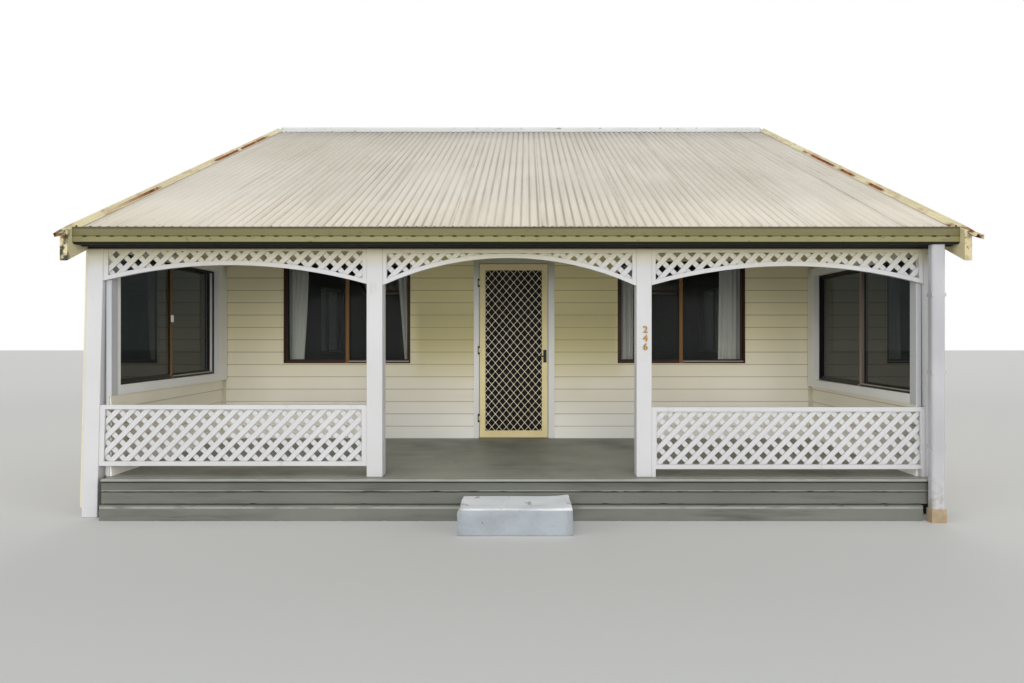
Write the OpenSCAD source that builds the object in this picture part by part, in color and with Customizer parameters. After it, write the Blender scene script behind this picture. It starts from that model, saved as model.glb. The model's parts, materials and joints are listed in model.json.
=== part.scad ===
// Weatherboard beach house with a lattice verandah under one straight gable roof.
// Millimetres, +Z up. The origin is on the lowest ground, under the middle of the ridge.
// The verandah faces -Y. The sides and the rear repeat the materials of the front.

/* [Plan] */
// Half width over the outer faces of the side walls
house_half_w = 3655; // [3500:5:4000]
// Thickness of the side walls
side_wall_t = 145; // [110:5:170]
// Distance from the ridge line to the face of the front wall
front_wall_y = 2430; // [2200:10:2900]
// Thickness of the front and rear walls
wall_t = 110; // [90:5:150]
// Distance from the ridge line to the front faces of the posts
post_front_y = 4690; // [4660:5:4900]
// How much nearer to the ridge line the face of the rear wall is than those post faces
rear_wall_in = 53; // [10:1:190]
// How far the deck runs out past the front faces of the posts
deck_nosing = 90; // [40:5:140]
// How far the skirting boards lie behind the front edge of the deck
skirt_in = 15; // [5:1:30]

/* [Floor] */
// Height of the deck and floor above the lowest ground
floor_z = 350; // [300:5:700]
// Thickness of the floor and deck boards
floor_t = 22; // [16:1:32]
// Height of the joists
joist_h = 90; // [70:5:140]
// Width of a joist, a rafter and a bottom plate
stick_w = 45; // [35:5:50]
// Distance between the joists
joist_step = 460; // [400:10:600]
// Side of the square bearers
bearer_w = 90; // [75:5:120]
// Distance from the post faces to the middle of the front row of stumps
front_row_in = 190; // [150:5:400]
// Distance from the face of the rear wall to the middle of the rear row of stumps
rear_row_in = 137; // [100:1:400]
// Distance from the end of a bearer to the middle of the last stump
stump_end_in = 235; // [100:5:400]
// Side of a square stump
stump_w = 120; // [100:5:150]
// Thickness of the boards that close the base
base_t = 20; // [12:1:30]
// Height of each upper skirting board of the deck
skirt_h = 84; // [60:1:95]
// Gap between the skirting boards
skirt_gap = 9; // [3:1:15]
// How far the lowest skirting board stands out from the others
skirt_foot = 30; // [10:5:40]

/* [Steps] */
// Left end of the front step
step_left = -433; // [-600:1:-400]
// Right end of the front step
step_right = 475; // [400:1:650]
// Height of the step
step_h = 213; // [150:1:240]
// Depth of the step in front of the deck's skirting
step_d = 467; // [350:1:520]
// Worn rounding of the long edge of the step
step_round = 28; // [5:1:50]

/* [Roof] */
// Height of the middle of the sheets at the ridge
ridge_z = 4735; // [4650:5:4900]
// Slope of the roof in degrees
roof_pitch = 25; // [23:0.5:26]
// Distance between two waves of the roofing sheet
wave = 76.2; // [70:0.1:90]
// Half height of a wave
wave_half = 8.5; // [6:0.5:12]
// Gap between the outermost wave and the barge board
sheet_side_gap = 4.3; // [0:0.1:15]
// Thickness of the roofing sheet
sheet_t = 2; // [1:0.5:3]
// How far the sheets run past the fascia over the gutter
sheet_over = 60; // [40:5:80]
// Opening between the front and rear sheets at the ridge
ridge_gap = 30; // [15:5:60]
// Thickness of the purlins
purlin_t = 38; // [30:1:50]
// Width of a purlin along the slope
purlin_w = 75; // [60:5:100]
// Number of purlins on each slope
purlin_count = 7; // [5:1:8]
// Depth of the rafters
rafter_d = 90; // [80:5:110]
// Distance between the rafters
rafter_step = 860; // [780:5:860]
// Thickness of the ridge board
ridge_board_t = 30; // [20:1:40]
// How far the ridge board runs down below the feet of the rafters
ridge_board_drop = 30; // [10:1:60]
// Half width of the ridge capping
ridge_cap_w = 150; // [120:5:200]
// Radius of the roll on the ridge capping
ridge_roll = 20; // [14:1:28]
// Thickness of the cappings
cap_t = 2.5; // [1.5:0.5:4]

/* [Eaves] */
// Distance from the post faces to the back of the fascia
eave_gap = 60; // [40:5:90]
// Thickness of the fascia
fascia_t = 20; // [16:1:30]
// Depth of the gutter, front to rear
gutter_d = 117; // [100:1:140]
// Height of the gutter's front
gutter_h = 143; // [110:1:150]
// Drop from the gutter's front lip to its back edge
gutter_back_drop = 38; // [25:1:50]
// Thickness of the gutter and downpipe metal
gutter_t = 3; // [2:0.5:4]
// Slanted corner at the foot of the gutter's front
gutter_bevel = 15; // [5:1:25]
// Distance from the outer face of the side wall to the barge board
barge_gap = 45; // [30:5:60]
// Thickness of the boxed barge board
barge_t = 60; // [30:5:70]
// Width of the barge board
barge_w = 225; // [180:5:260]
// How far the barge board's foot runs past the gutter
barge_foot = 63; // [30:1:100]
// How far the barge capping runs past the barge board's foot
barge_cap_over = 80; // [20:5:100]
// Width of the barge capping that lies on the sheets
barge_cap_in = 60; // [40:5:90]
// Height of the outer lip of the barge capping
barge_cap_lip = 50; // [30:5:80]
// Radius of the roll on a barge cap
cap_rib_r = 18; // [12:1:20]
// How far the roof covering lies to the right of the walls' middle
roof_shift = 24; // [0:1:25]
// Width of the downpipe
downpipe_w = 115; // [90:5:120]
// Depth of the downpipe
downpipe_d = 77; // [60:1:90]
// How far the downpipe's outer side stands in from the side wall
downpipe_in = 30; // [5:5:60]
// Height of the concrete stub under the downpipe
stub_h = 114; // [60:1:150]

/* [Posts and beam] */
// Height of the beam at its front face
beam_h = 62; // [50:1:90]
// Depth of the beam and the corner posts, front to rear
beam_d = 100; // [90:5:130]
// Width of a corner post
corner_post_w = 135; // [120:5:150]
// How far a corner post stands out from the side wall
corner_post_out = 15; // [5:5:30]
// How far the left corner post leans out at its foot
left_lean = 57; // [0:1:60]
// How far the right corner post leans out at its foot
right_lean = 22; // [0:1:60]
// Side of the left verandah post
left_post_w = 137; // [110:1:150]
// Middle of the left verandah post
left_post_x = -1200; // [-1400:5:-1000]
// Side of the right verandah post
right_post_w = 131; // [110:1:150]
// Middle of the right verandah post
right_post_x = 1125; // [1000:5:1400]

/* [Lattice] */
// Distances between two laths, measured along a rail, in the three valances
valance_steps = [127.5, 124, 129.3];
// Distances between two laths, measured along a rail, in the two balustrades
balustrade_steps = [127.3, 129.3];
// Width of a lath
lath_w = 42; // [30:1:50]
// Thickness of a lath
lath_t = 8; // [5:1:10]
// Depth of a lattice frame
lattice_frame_d = 35; // [30:1:45]
// How far a lattice frame stands back from the post faces
lattice_back = 5; // [0:1:15]
// Height of the balustrades' rails
rail_h = 38; // [25:1:45]
// Width of the end stiles of the balustrades
balustrade_stile_w = 43; // [30:1:60]
// Width of the end stiles of the valances
valance_stile_w = 35; // [25:1:45]
// Heights of the valances' top rails
valance_top_h = [34, 53, 48];
// Height of the valances' arched rails
valance_foot_h = 37; // [25:1:45]
// Heights of the valances at their left and right ends
valance_h = [[289, 318], [328, 335], [329, 317]];
// Rises of the valances' arches
valance_rise = [148, 238, 160];
// Height of the left balustrade's foot above the deck
left_rail_foot = 97; // [60:1:120]
// Height of the right balustrade's foot above the deck
right_rail_foot = 69; // [60:1:120]
// Height of the left balustrade
left_rail_h = 526; // [450:1:600]
// Height of the right balustrade
right_rail_h = 534; // [450:1:600]

/* [Windows] */
// Left and right edges of the left front window
front_win_left_x = [-2778, -1271];
// Left and right edges of the right front window
front_win_right_x = [1192, 2709];
// Height of the front windows' sills above the floor
front_win_sill = 890; // [700:5:1000]
// Height of the front windows
front_win_h = 1210; // [1000:5:1300]
// Distances from the ridge line to the ends of the left wing window
wing_left_y = [2667, 4520];
// Distances from the ridge line to the ends of the right wing window
wing_right_y = [2640, 4560];
// Height of the left wing window's sill above the floor
wing_left_sill = 783; // [650:1:900]
// Height of the right wing window's sill above the floor
wing_right_sill = 707; // [650:1:900]
// Height of the left wing window
wing_left_h = 1173; // [1000:1:1250]
// Height of the right wing window
wing_right_h = 1204; // [1000:1:1250]
// Width of the side and rear windows
side_win_w = 1510; // [900:10:1800]
// Height of the side windows' sills above the floor
side_win_sill = 890; // [750:5:950]
// Height of the side windows
side_win_h = 1210; // [900:5:1300]
// Middles of the side windows, from the ridge line to the rear
side_win_y = [-950, 2250];
// Height of the rear windows' sills above the floor
rear_win_sill = 800; // [650:5:900]
// Height of the rear windows
rear_win_h = 1000; // [800:5:1100]
// Distance from the middle to the middle of each rear window
rear_win_x = 1950; // [1500:5:2300]
// Width of the outer window frame
win_frame_w = 18; // [12:1:45]
// Depth of the outer window frame
win_frame_d = 80; // [75:1:100]
// How far a window frame stands out from the cladding
win_proud = 8; // [0:1:20]
// Width of a sash bar
sash_w = 24; // [18:1:55]
// Width of the two bars that meet in the middle of a window
meet_w = 42; // [24:1:55]
// Thickness of a sash
sash_t = 24; // [18:1:28]
// Thickness of the glass
glass_t = 5; // [3:1:8]
// Height of the wing casings over and under a window
casing_w = 85; // [60:5:100]
// Thickness of a wing casing at its front end
casing_t = 20; // [12:1:30]
// Thickness of a wing casing where it meets the front wall
casing_far_t = 65; // [20:1:70]

/* [Screen door] */
// Left edge of the door leaf
door_left = -450; // [-470:1:-430]
// Width of the door leaf
door_w = 812; // [790:1:830]
// Height of the door leaf
door_h = 2063; // [1950:1:2080]
// Thickness of the door leaf
door_t = 35; // [25:1:40]
// Gap under the leaf
door_foot = 7; // [6:1:15]
// Gap between the leaf and its frame
door_gap = 6.5; // [6:0.5:10]
// Width of the left and right side pieces of the door frame
jamb_w = [61, 73];
// Height of the door frame's head
head_h = 74; // [50:1:90]
// How far the door frame stands out from the cladding
jamb_proud = 10; // [5:1:25]
// Width of the leaf's stiles
stile_w = 68; // [50:1:90]
// Height of the leaf's top rail
top_rail_h = 72; // [50:1:100]
// Height of the leaf's bottom rail
bottom_rail_h = 80; // [60:1:140]
// Width of one diamond of the grille
diamond_w = 87; // [70:1:120]
// Height of one diamond of the grille
diamond_h = 101; // [80:1:140]
// How far the grille lies behind the face of the leaf
grille_in = 12; // [8:1:20]
// Width of a grille bar
grille_w = 9; // [6:1:12]
// Thickness of a grille bar
grille_t = 4; // [3:1:6]
// Thickness of the insect mesh
mesh_t = 2; // [1:0.5:3]
// Heights of the three hinges above the floor
hinge_heights = [239, 1045, 1846];
// Radius of a hinge knuckle
knuckle_r = 7; // [5:0.5:9]
// Radius of a hinge pin
pin_r = 3.5; // [2.5:0.5:4]
// Clearance round a hinge pin
pin_gap = 0.3; // [0.2:0.1:0.4]
// Length of a hinge
hinge_l = 100; // [80:5:120]
// Height of the door lever above the floor
lever_z = 974; // [900:1:1050]
// Length of the door lever
lever_l = 105; // [80:5:130]

/* [Rear door] */
// Width of the rear door
rear_door_w = 820; // [720:10:900]
// Height of the wall that is left over the rear door's frame
rear_head_gap = 72.12; // [50:1:200]
// Thickness of the rear door
rear_door_t = 40; // [30:1:45]
// How far the rear door stands back from the face of the wall
rear_door_in = 20; // [5:1:40]
// Width of the rear door's frame
rear_jamb_w = 40; // [25:1:60]

/* [Curtains] */
// Left and right edges of each curtain
curtain_x = [[-2780, -2540], [-1420, -1300], [1235, 1410], [2430, 2720]];
// Thickness of the folds of a curtain
curtain_t = 60; // [30:5:80]
// Length of the curtains
curtain_l = 1500; // [1300:10:1900]
// Radius of a curtain rod
rod_r = 10; // [8:1:16]
// Height of the curtain rods above the floor
rod_z = 2190; // [2130:5:2400]
// Distance from the wall to the middle of a curtain rod
rod_out = 75; // [60:5:100]

/* [Hidden] */

// Round details are true circles from this count on; polygons of few sides stay plain
round_fn = 32;
few_sides = 12;
// Longer than anything in the house, for cutting
far = 12000;
// Hair's breadth between sloping pieces that only rest on each other
seat = 0.02;

inner_x = house_half_w - side_wall_t;
rear_wall_y = post_front_y - rear_wall_in;
post_back_y = post_front_y - beam_d;
deck_front_y = post_front_y + deck_nosing;
fascia_back_y = post_front_y + eave_gap;
fascia_front_y = fascia_back_y + fascia_t;
gutter_front_y = fascia_front_y + gutter_d;
sheet_end_y = fascia_front_y + sheet_over;
barge_in_x = house_half_w + barge_gap;
barge_out_x = barge_in_x + barge_t;
barge_foot_y = gutter_front_y + barge_foot;

// Offsets from the middle of the sheets, measured square to the slope
crest = wave_half + sheet_t;
purlin_top = -wave_half;
rafter_top = purlin_top - purlin_t;
rafter_foot = rafter_top - rafter_d;
wall_top = rafter_foot - seat;
gable_top = rafter_top - seat;

// Height of a plane that lies parallel to the roof, at a distance from the ridge line
function plane_z(y, offset) = ridge_z - tan(roof_pitch) * abs(y) + offset / cos(roof_pitch);

beam_z = plane_z(post_front_y, rafter_foot) - beam_h;
gutter_z = beam_z + 2;
gutter_lip_z = gutter_z + gutter_h;
slab_z = floor_z - floor_t;
stump_h = slab_z - joist_h - bearer_w;
bearer_end_x = house_half_w - base_t;
stump_step = (bearer_end_x - stump_end_in) / 2;
front_row_y = -(post_front_y - front_row_in);
row_step = (rear_wall_y - rear_row_in - front_row_y) / 4;
skirt_y = deck_front_y - skirt_in;
skirt_back_y = skirt_y - base_t;

door_z = floor_z + door_foot;
frame_in_left = door_left - door_gap;
frame_in_right = door_left + door_w + door_gap;
frame_left = frame_in_left - jamb_w[0];
frame_right = frame_in_right + jamb_w[1];
frame_in_z = door_z + door_h + door_gap;
frame_top_z = frame_in_z + head_h;
door_face_y = -front_wall_y - jamb_proud;
hinge_x = door_left - door_gap / 2;
hinge_y = door_face_y - knuckle_r;
lattice_y = -post_front_y + lattice_back;

// A profile drawn front to rear and upward, run along X from one place to another
module along_x(from, to) {
    translate([from, 0, 0])
        rotate([90, 0, 90])
            linear_extrude(to - from) children();
}

// A shape drawn as seen from the front, with its face at y and a thickness to the rear
module facing(y, thickness) {
    translate([0, y + thickness, 0])
        rotate([90, 0, 0])
            linear_extrude(thickness) children();
}

// A box given by its two corners
module box(low, high) {
    translate(low) cube(high - low);
}

// Something drawn on the front slope: -Y is down the slope and Z square to it
module on_slope() {
    translate([0, 0, ridge_z]) rotate([roof_pitch, 0, 0]) children();
}

// The front half and its mirror image at the rear
module front_and_rear() {
    for (rear = [0, 1]) mirror([0, rear, 0]) children();
}

// The right side and its mirror image on the left
module both_sides() {
    for (left = [0, 1]) mirror([left, 0, 0]) children();
}

module stumps() color("gray")
    for (i = [-2:2], j = [0:4])
        translate([i * stump_step - stump_w / 2, front_row_y + j * row_step - stump_w / 2, 0])
            cube([stump_w, stump_w, stump_h]);

module floor_bearers() color("burlywood")
    for (j = [0:4])
        translate([-bearer_end_x, front_row_y + j * row_step - bearer_w / 2, stump_h])
            cube([2 * bearer_end_x, bearer_w, bearer_w]);

module floor_joists() color("burlywood") {
    half_count = floor((inner_x - stick_w) / joist_step);
    for (i = [-half_count:half_count])
        translate([i * joist_step - stick_w / 2, -skirt_back_y, stump_h + bearer_w])
            cube([stick_w, skirt_back_y + rear_wall_y - base_t, joist_h]);
}

module base_boards() color("dimgray") {
    both_sides()
        box([bearer_end_x, -post_back_y, 0], [house_half_w, rear_wall_y, slab_z]);
    box([-bearer_end_x, rear_wall_y - base_t, 0], [bearer_end_x, rear_wall_y, slab_z]);
}

module house_floor() color("sienna")
    box([-house_half_w, -front_wall_y, slab_z], [house_half_w, rear_wall_y, floor_z]);

module verandah_deck() color("slategray")
    translate([0, 0, slab_z])
        linear_extrude(floor_t)
            polygon([
                [-house_half_w, -front_wall_y], [-house_half_w, -post_back_y],
                [-inner_x, -post_back_y], [-inner_x, -deck_front_y],
                [house_half_w, -deck_front_y], [house_half_w, -front_wall_y]
            ]);

// The joists under which a batten carries the skirting boards
skirt_battens = [-6, -2, 2, 6];
// Where the boards end at the right, from the inner face of the side wall
skirt_right = 65;
skirt_foot_right = -40;

// Two boards close the front under the deck, and a thicker one stands on the ground
module deck_skirt() color("dimgray") {
    right_end = inner_x + skirt_right;
    for (k = [1, 2])
        box([-inner_x, -skirt_y, slab_z - k * skirt_h - (k - 1) * skirt_gap],
            [right_end, -skirt_back_y, slab_z - (k - 1) * (skirt_h + skirt_gap)]);
    foot_top = slab_z - 2 * skirt_h - 3 * skirt_gap;
    box([-inner_x, -skirt_y - skirt_foot, 0], [step_left, -skirt_back_y, foot_top]);
    box([step_right, -skirt_y - skirt_foot, 0], [inner_x + skirt_foot_right, -skirt_back_y, foot_top]);
    for (i = skirt_battens)
        translate([i * joist_step - stick_w / 2, -skirt_back_y, 0])
            cube([stick_w, stick_w, slab_z - joist_h]);
}

// A cast block with a rounded, worn nosing
module step_block(left, right, back_y) {
    front_y = -skirt_y - step_d;
    along_x(left, right) hull() {
        polygon([[front_y, 0], [back_y, 0], [back_y, step_h], [front_y + step_round, step_h]]);
        translate([front_y + step_round, step_h - step_round]) circle(step_round, $fn = few_sides);
    }
}

module steps() color("lightsteelblue") {
    step_block(step_left, step_right, -skirt_y);
    rotate([0, 0, 180]) step_block(step_left, step_right, -rear_wall_y);
}

// The section of a front or rear wall, with its top cut to the slope of the rafters
module wall_section(foot_z) {
    outer_y = -front_wall_y;
    inner_y = outer_y + wall_t;
    polygon([
        [outer_y, foot_z], [inner_y, foot_z],
        [inner_y, plane_z(inner_y, wall_top)], [outer_y, plane_z(outer_y, wall_top)]
    ]);
}

// The space of a window in the front wall
module front_window_hole(edges) {
    box([edges[0], -front_wall_y - 1, floor_z + front_win_sill],
        [edges[1], -front_wall_y + wall_t + 1, floor_z + front_win_sill + front_win_h]);
}

module front_wall_left() color("cornsilk") difference() {
    along_x(-inner_x, frame_left) wall_section(floor_z);
    front_window_hole(front_win_left_x);
}

module front_wall_right() color("cornsilk") difference() {
    along_x(frame_right, inner_x) wall_section(floor_z);
    front_window_hole(front_win_right_x);
}

module front_wall_over_door() color("cornsilk")
    along_x(frame_left, frame_right) wall_section(frame_top_z);

// A side wall runs from the verandah to the rear and ends in the gable
module side_wall_section(wing_y, wing_sill, wing_h) {
    difference() {
        polygon([
            [-post_back_y, floor_z], [rear_wall_y, floor_z],
            [rear_wall_y, plane_z(rear_wall_y, gable_top)], [0, plane_z(0, gable_top)],
            [-post_back_y, plane_z(post_back_y, gable_top)]
        ]);
        translate([-wing_y[1], floor_z + wing_sill]) square([wing_y[1] - wing_y[0], wing_h]);
        for (y = side_win_y)
            translate([y - side_win_w / 2, floor_z + side_win_sill])
                square([side_win_w, side_win_h]);
    }
}

module left_wall() color("cornsilk")
    along_x(-house_half_w, -inner_x) side_wall_section(wing_left_y, wing_left_sill, wing_left_h);

module right_wall() color("cornsilk")
    along_x(inner_x, house_half_w)
        side_wall_section(wing_right_y, wing_right_sill, wing_right_h);

rear_inner_y = rear_wall_y - wall_t;
rear_door_h = plane_z(rear_wall_y, rafter_foot) - rear_head_gap - rear_jamb_w - floor_z;

module rear_wall() color("cornsilk") difference() {
    along_x(-inner_x, inner_x)
        polygon([
            [rear_inner_y, floor_z], [rear_wall_y, floor_z],
            [rear_wall_y, plane_z(rear_wall_y, wall_top)],
            [rear_inner_y, plane_z(rear_inner_y, wall_top)]
        ]);
    for (side = [-1, 1])
        box([side * rear_win_x - side_win_w / 2, rear_inner_y - 1, floor_z + rear_win_sill],
            [side * rear_win_x + side_win_w / 2, rear_wall_y + 1,
             floor_z + rear_win_sill + rear_win_h]);
    rear_hole = rear_door_w / 2 + rear_jamb_w;
    box([-rear_hole, rear_inner_y - 1, floor_z - 1],
        [rear_hole, rear_wall_y + 1, floor_z + rear_door_h + rear_jamb_w]);
}

// Boards on the rear corners, and a bead where the front wall meets each wing
corner_board_w = 90;
corner_board_t = 18;
bead_w = 48;

module corner_boards() color("ivory") both_sides() {
    top_z = plane_z(rear_wall_y, rafter_foot);
    box([house_half_w, rear_wall_y - corner_board_w, floor_z],
        [house_half_w + corner_board_t, rear_wall_y + corner_board_t, top_z]);
    box([house_half_w - corner_board_w, rear_wall_y, floor_z],
        [house_half_w, rear_wall_y + corner_board_t, top_z]);
    box([inner_x - bead_w, -front_wall_y - bead_w / 2, floor_z],
        [inner_x, -front_wall_y, plane_z(front_wall_y + bead_w / 2, rafter_foot - 8)]);
}

// White boards round a wing window, packed out towards the front wall, and the board that
// turns round the end of the wing
module wing_casing(wing_y, wing_sill, wing_h) {
    sill_z = floor_z + wing_sill;
    head_z = sill_z + wing_h;
    front_y = lattice_y + lattice_frame_d;
    far_y = -front_wall_y - bead_w / 2;
    far_x = inner_x - casing_far_t;
    difference() {
        translate([0, 0, sill_z - casing_w])
            linear_extrude(wing_h + 2 * casing_w)
                polygon([
                    [inner_x, front_y], [inner_x, far_y],
                    [far_x, far_y], [inner_x - casing_t, front_y]
                ]);
        box([far_x - 1, -wing_y[1], sill_z], [inner_x + 1, -wing_y[0], head_z]);
        box([far_x - 1, front_y - 1, beam_z], [inner_x + 1, -post_back_y, far]);
    }
    box([inner_x, front_y, floor_z], [corner_in_x, -post_back_y, beam_z]);
}

module wing_casings() color("white") {
    wing_casing(wing_right_y, wing_right_sill, wing_right_h);
    mirror([1, 0, 0]) wing_casing(wing_left_y, wing_left_sill, wing_left_h);
}

// A sliding window seen from the front, its left lower corner at the origin and its face at y = 0
module window_frame(w, h) {
    inner_w = w - 2 * win_frame_w;
    inner_h = h - 2 * win_frame_w;
    facing(0, win_frame_d) difference() {
        square([w, h]);
        translate([win_frame_w, win_frame_w]) square([inner_w, inner_h]);
    }
    sash_len = (inner_w + meet_w) / 2;
    for (k = [0, 1])
        translate([win_frame_w + k * (inner_w - sash_len), 0, win_frame_w])
            facing(sash_y(k), sash_t) difference() {
                square([sash_len, inner_h]);
                translate([sash_stile(k), sash_w])
                    square([sash_len - sash_w - meet_w, inner_h - 2 * sash_w]);
            }
}

// The left sash runs in the outer track and the right one behind it
function sash_y(k) = win_frame_d / 2 + (k - 1) * sash_t;

// Width of the left bar of each sash
function sash_stile(k) = k == 0 ? sash_w : meet_w;

module window_panes(w, h) {
    inner_w = w - 2 * win_frame_w;
    pane_h = h - 2 * win_frame_w - 2 * sash_w;
    sash_len = (inner_w + meet_w) / 2;
    for (k = [0, 1])
        translate([win_frame_w + k * (inner_w - sash_len) + sash_stile(k),
                   sash_y(k) + (sash_t - glass_t) / 2, win_frame_w + sash_w])
            cube([sash_len - sash_w - meet_w, glass_t, pane_h]);
}

// Each window in its wall: children 0 is drawn with the module's own size
module front_window_place(edges) {
    translate([edges[0], -front_wall_y - win_proud, floor_z + front_win_sill]) children();
}

// A wing window faces the verandah: turned to the left for the right wing
module wing_window_place_right() {
    translate([inner_x - win_proud, -wing_right_y[0], floor_z + wing_right_sill])
        rotate([0, 0, -90]) children();
}

module wing_window_place_left() {
    translate([-inner_x + win_proud, -wing_left_y[1], floor_z + wing_left_sill])
        rotate([0, 0, 90]) children();
}

module house_window_places(i) {
    if (i == 0)
        for (y = side_win_y)
            translate([house_half_w + win_proud, y - side_win_w / 2, floor_z + side_win_sill])
                rotate([0, 0, 90]) children();
    if (i == 1)
        for (y = side_win_y)
            translate([-house_half_w - win_proud, y + side_win_w / 2, floor_z + side_win_sill])
                rotate([0, 0, -90]) children();
    if (i == 2)
        for (side = [-1, 1])
            translate([side * rear_win_x + side_win_w / 2, rear_wall_y + win_proud,
                       floor_z + rear_win_sill])
                rotate([0, 0, 180]) children();
}

module wing_windows() color("saddlebrown") {
    wing_window_place_right() window_frame(wing_right_y[1] - wing_right_y[0], wing_right_h);
    wing_window_place_left() window_frame(wing_left_y[1] - wing_left_y[0], wing_left_h);
}

module front_windows() color("saddlebrown")
    for (edges = [front_win_left_x, front_win_right_x])
        front_window_place(edges) window_frame(edges[1] - edges[0], front_win_h);

module house_windows() color("saddlebrown") {
    for (i = [0, 1]) house_window_places(i) window_frame(side_win_w, side_win_h);
    house_window_places(2) window_frame(side_win_w, rear_win_h);
}

module window_glass() color("lightskyblue") {
    wing_window_place_right() window_panes(wing_right_y[1] - wing_right_y[0], wing_right_h);
    wing_window_place_left() window_panes(wing_left_y[1] - wing_left_y[0], wing_left_h);
    for (edges = [front_win_left_x, front_win_right_x])
        front_window_place(edges) window_panes(edges[1] - edges[0], front_win_h);
    for (i = [0, 1]) house_window_places(i) window_panes(side_win_w, side_win_h);
    house_window_places(2) window_panes(side_win_w, rear_win_h);
}

module door_frame() color("white")
    facing(door_face_y, wall_t + jamb_proud)
        polygon([
            [frame_left, floor_z], [frame_left, frame_top_z],
            [frame_right, frame_top_z], [frame_right, floor_z],
            [frame_in_right, floor_z], [frame_in_right, frame_in_z],
            [frame_in_left, frame_in_z], [frame_in_left, floor_z]
        ]);

// The middle knuckle turns with the leaf; the outer ones and the pin stay on the frame
knuckle_l = hinge_l / 2;
plate_t = 2.5;
plate_w = 28;
frame_plate_w = 18;

module door_hinges() color("dimgray")
    for (h = hinge_heights) translate([hinge_x, hinge_y, floor_z + h - hinge_l / 2]) {
        end_l = (hinge_l - knuckle_l) / 2 - 0.5;
        cylinder(h = hinge_l, r = pin_r, $fn = round_fn);
        for (z = [0, hinge_l - end_l]) translate([0, 0, z]) {
            cylinder(h = end_l, r = knuckle_r, $fn = round_fn);
            translate([-frame_plate_w, knuckle_r - plate_t, 0])
                cube([frame_plate_w, plate_t, end_l]);
        }
        translate([-frame_plate_w, knuckle_r - plate_t, 0])
            cube([frame_plate_w - knuckle_r - 1, plate_t, hinge_l]);
    }

// The leaf: an aluminium frame and the turning knuckles of its hinges
module screen_door() color("wheat") {
    facing(door_face_y, door_t) difference() {
        translate([door_left, door_z]) square([door_w, door_h]);
        translate([door_left + stile_w, door_z + bottom_rail_h])
            square([door_w - 2 * stile_w, door_h - bottom_rail_h - top_rail_h]);
    }
    for (h = hinge_heights)
        translate([hinge_x, hinge_y, floor_z + h - knuckle_l / 2]) difference() {
            union() {
                cylinder(h = knuckle_l, r = knuckle_r, $fn = round_fn);
                translate([0, knuckle_r - plate_t, 0]) cube([plate_w, plate_t, knuckle_l]);
            }
            translate([0, 0, -1])
                cylinder(h = knuckle_l + 2, r = pin_r + pin_gap, $fn = round_fn);
        }
}

grille_size = [door_w - 2 * stile_w, door_h - bottom_rail_h - top_rail_h];
grille_corner = [door_left + stile_w, door_z + bottom_rail_h];
grille_y = door_face_y + grille_in;

// Crossing bars at the slope of the diamonds, cut to the opening of the leaf
module screen_grille() color("goldenrod") {
    slope_deg = atan(diamond_h / diamond_w);
    reach = ceil((grille_size[0] / diamond_w + grille_size[1] / diamond_h) / 2) + 1;
    bar_l = 2 * (grille_size[0] + grille_size[1]);
    facing(grille_y, grille_t) translate(grille_corner) intersection() {
        square(grille_size);
        translate(grille_size / 2)
            for (k = [-reach:reach], lean = [-1, 1])
                translate([k * diamond_w, 0]) rotate(lean * slope_deg)
                    square([bar_l, grille_w], center = true);
    }
}

module screen_mesh() color("black")
    facing(grille_y + grille_t, mesh_t) translate(grille_corner) square(grille_size);

// A plate and a lever on each face of the leaf
handle_plate = [38, 150, 7];
handle_neck = 45;
lever_r = 8;

module lever_set() {
    translate([-handle_plate[0] / 2, -handle_plate[2], -handle_plate[1] / 2])
        cube([handle_plate[0], handle_plate[2], handle_plate[1]]);
    rotate([90, 0, 0]) cylinder(h = handle_neck, r = lever_r, $fn = few_sides);
    translate([-lever_l + lever_r, -handle_neck, -lever_r])
        cube([lever_l, 2 * lever_r - 4, 2 * lever_r]);
}

module screen_handle() color("black")
    translate([door_left + door_w - stile_w / 2, door_face_y, floor_z + lever_z]) {
        lever_set();
        translate([0, door_t, 0]) mirror([0, 1, 0]) lever_set();
    }

module rear_door() color("wheat") {
    hole = rear_door_w / 2 + rear_jamb_w;
    facing(rear_inner_y, wall_t) difference() {
        translate([-hole, floor_z]) square([2 * hole, rear_door_h + rear_jamb_w]);
        translate([-rear_door_w / 2, floor_z]) square([rear_door_w, rear_door_h]);
    }
    facing(rear_wall_y - rear_door_t - rear_door_in, rear_door_t)
        translate([-rear_door_w / 2, floor_z]) square([rear_door_w, rear_door_h]);
}

module ridge_board() color("burlywood")
    box([-inner_x, -ridge_board_t / 2, plane_z(0, rafter_foot) - ridge_board_drop],
        [inner_x, ridge_board_t / 2, plane_z(ridge_board_t / 2, rafter_top)]);

// Rafters on the beam and the walls
module rafters() color("burlywood") front_and_rear() {
    half_count = floor((inner_x - stick_w / 2) / rafter_step);
    ridge_y = ridge_board_t / 2;
    for (i = [-half_count:half_count])
        along_x(i * rafter_step - stick_w / 2, i * rafter_step + stick_w / 2)
            polygon([
                [-fascia_back_y, plane_z(fascia_back_y, rafter_foot)],
                [-ridge_y, plane_z(ridge_y, rafter_foot)],
                [-ridge_y, plane_z(ridge_y, gable_top)],
                [-fascia_back_y, plane_z(fascia_back_y, gable_top)]
            ]);
}

// The roof covering lies a little to the right of the walls
module roof_place() translate([roof_shift, 0, 0]) children();

// Purlins over the rafters and gables carry the sheets and the barge boards
module purlins() color("burlywood") roof_place() front_and_rear() {
    slope_l = fascia_back_y / cos(roof_pitch);
    purlin_step = (slope_l - 2 * purlin_w) / (purlin_count - 1);
    on_slope() for (i = [0:purlin_count - 1])
        translate([-barge_in_x, -1.5 * purlin_w - i * purlin_step, rafter_top])
            cube([2 * barge_in_x, purlin_w, purlin_t]);
}

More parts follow.
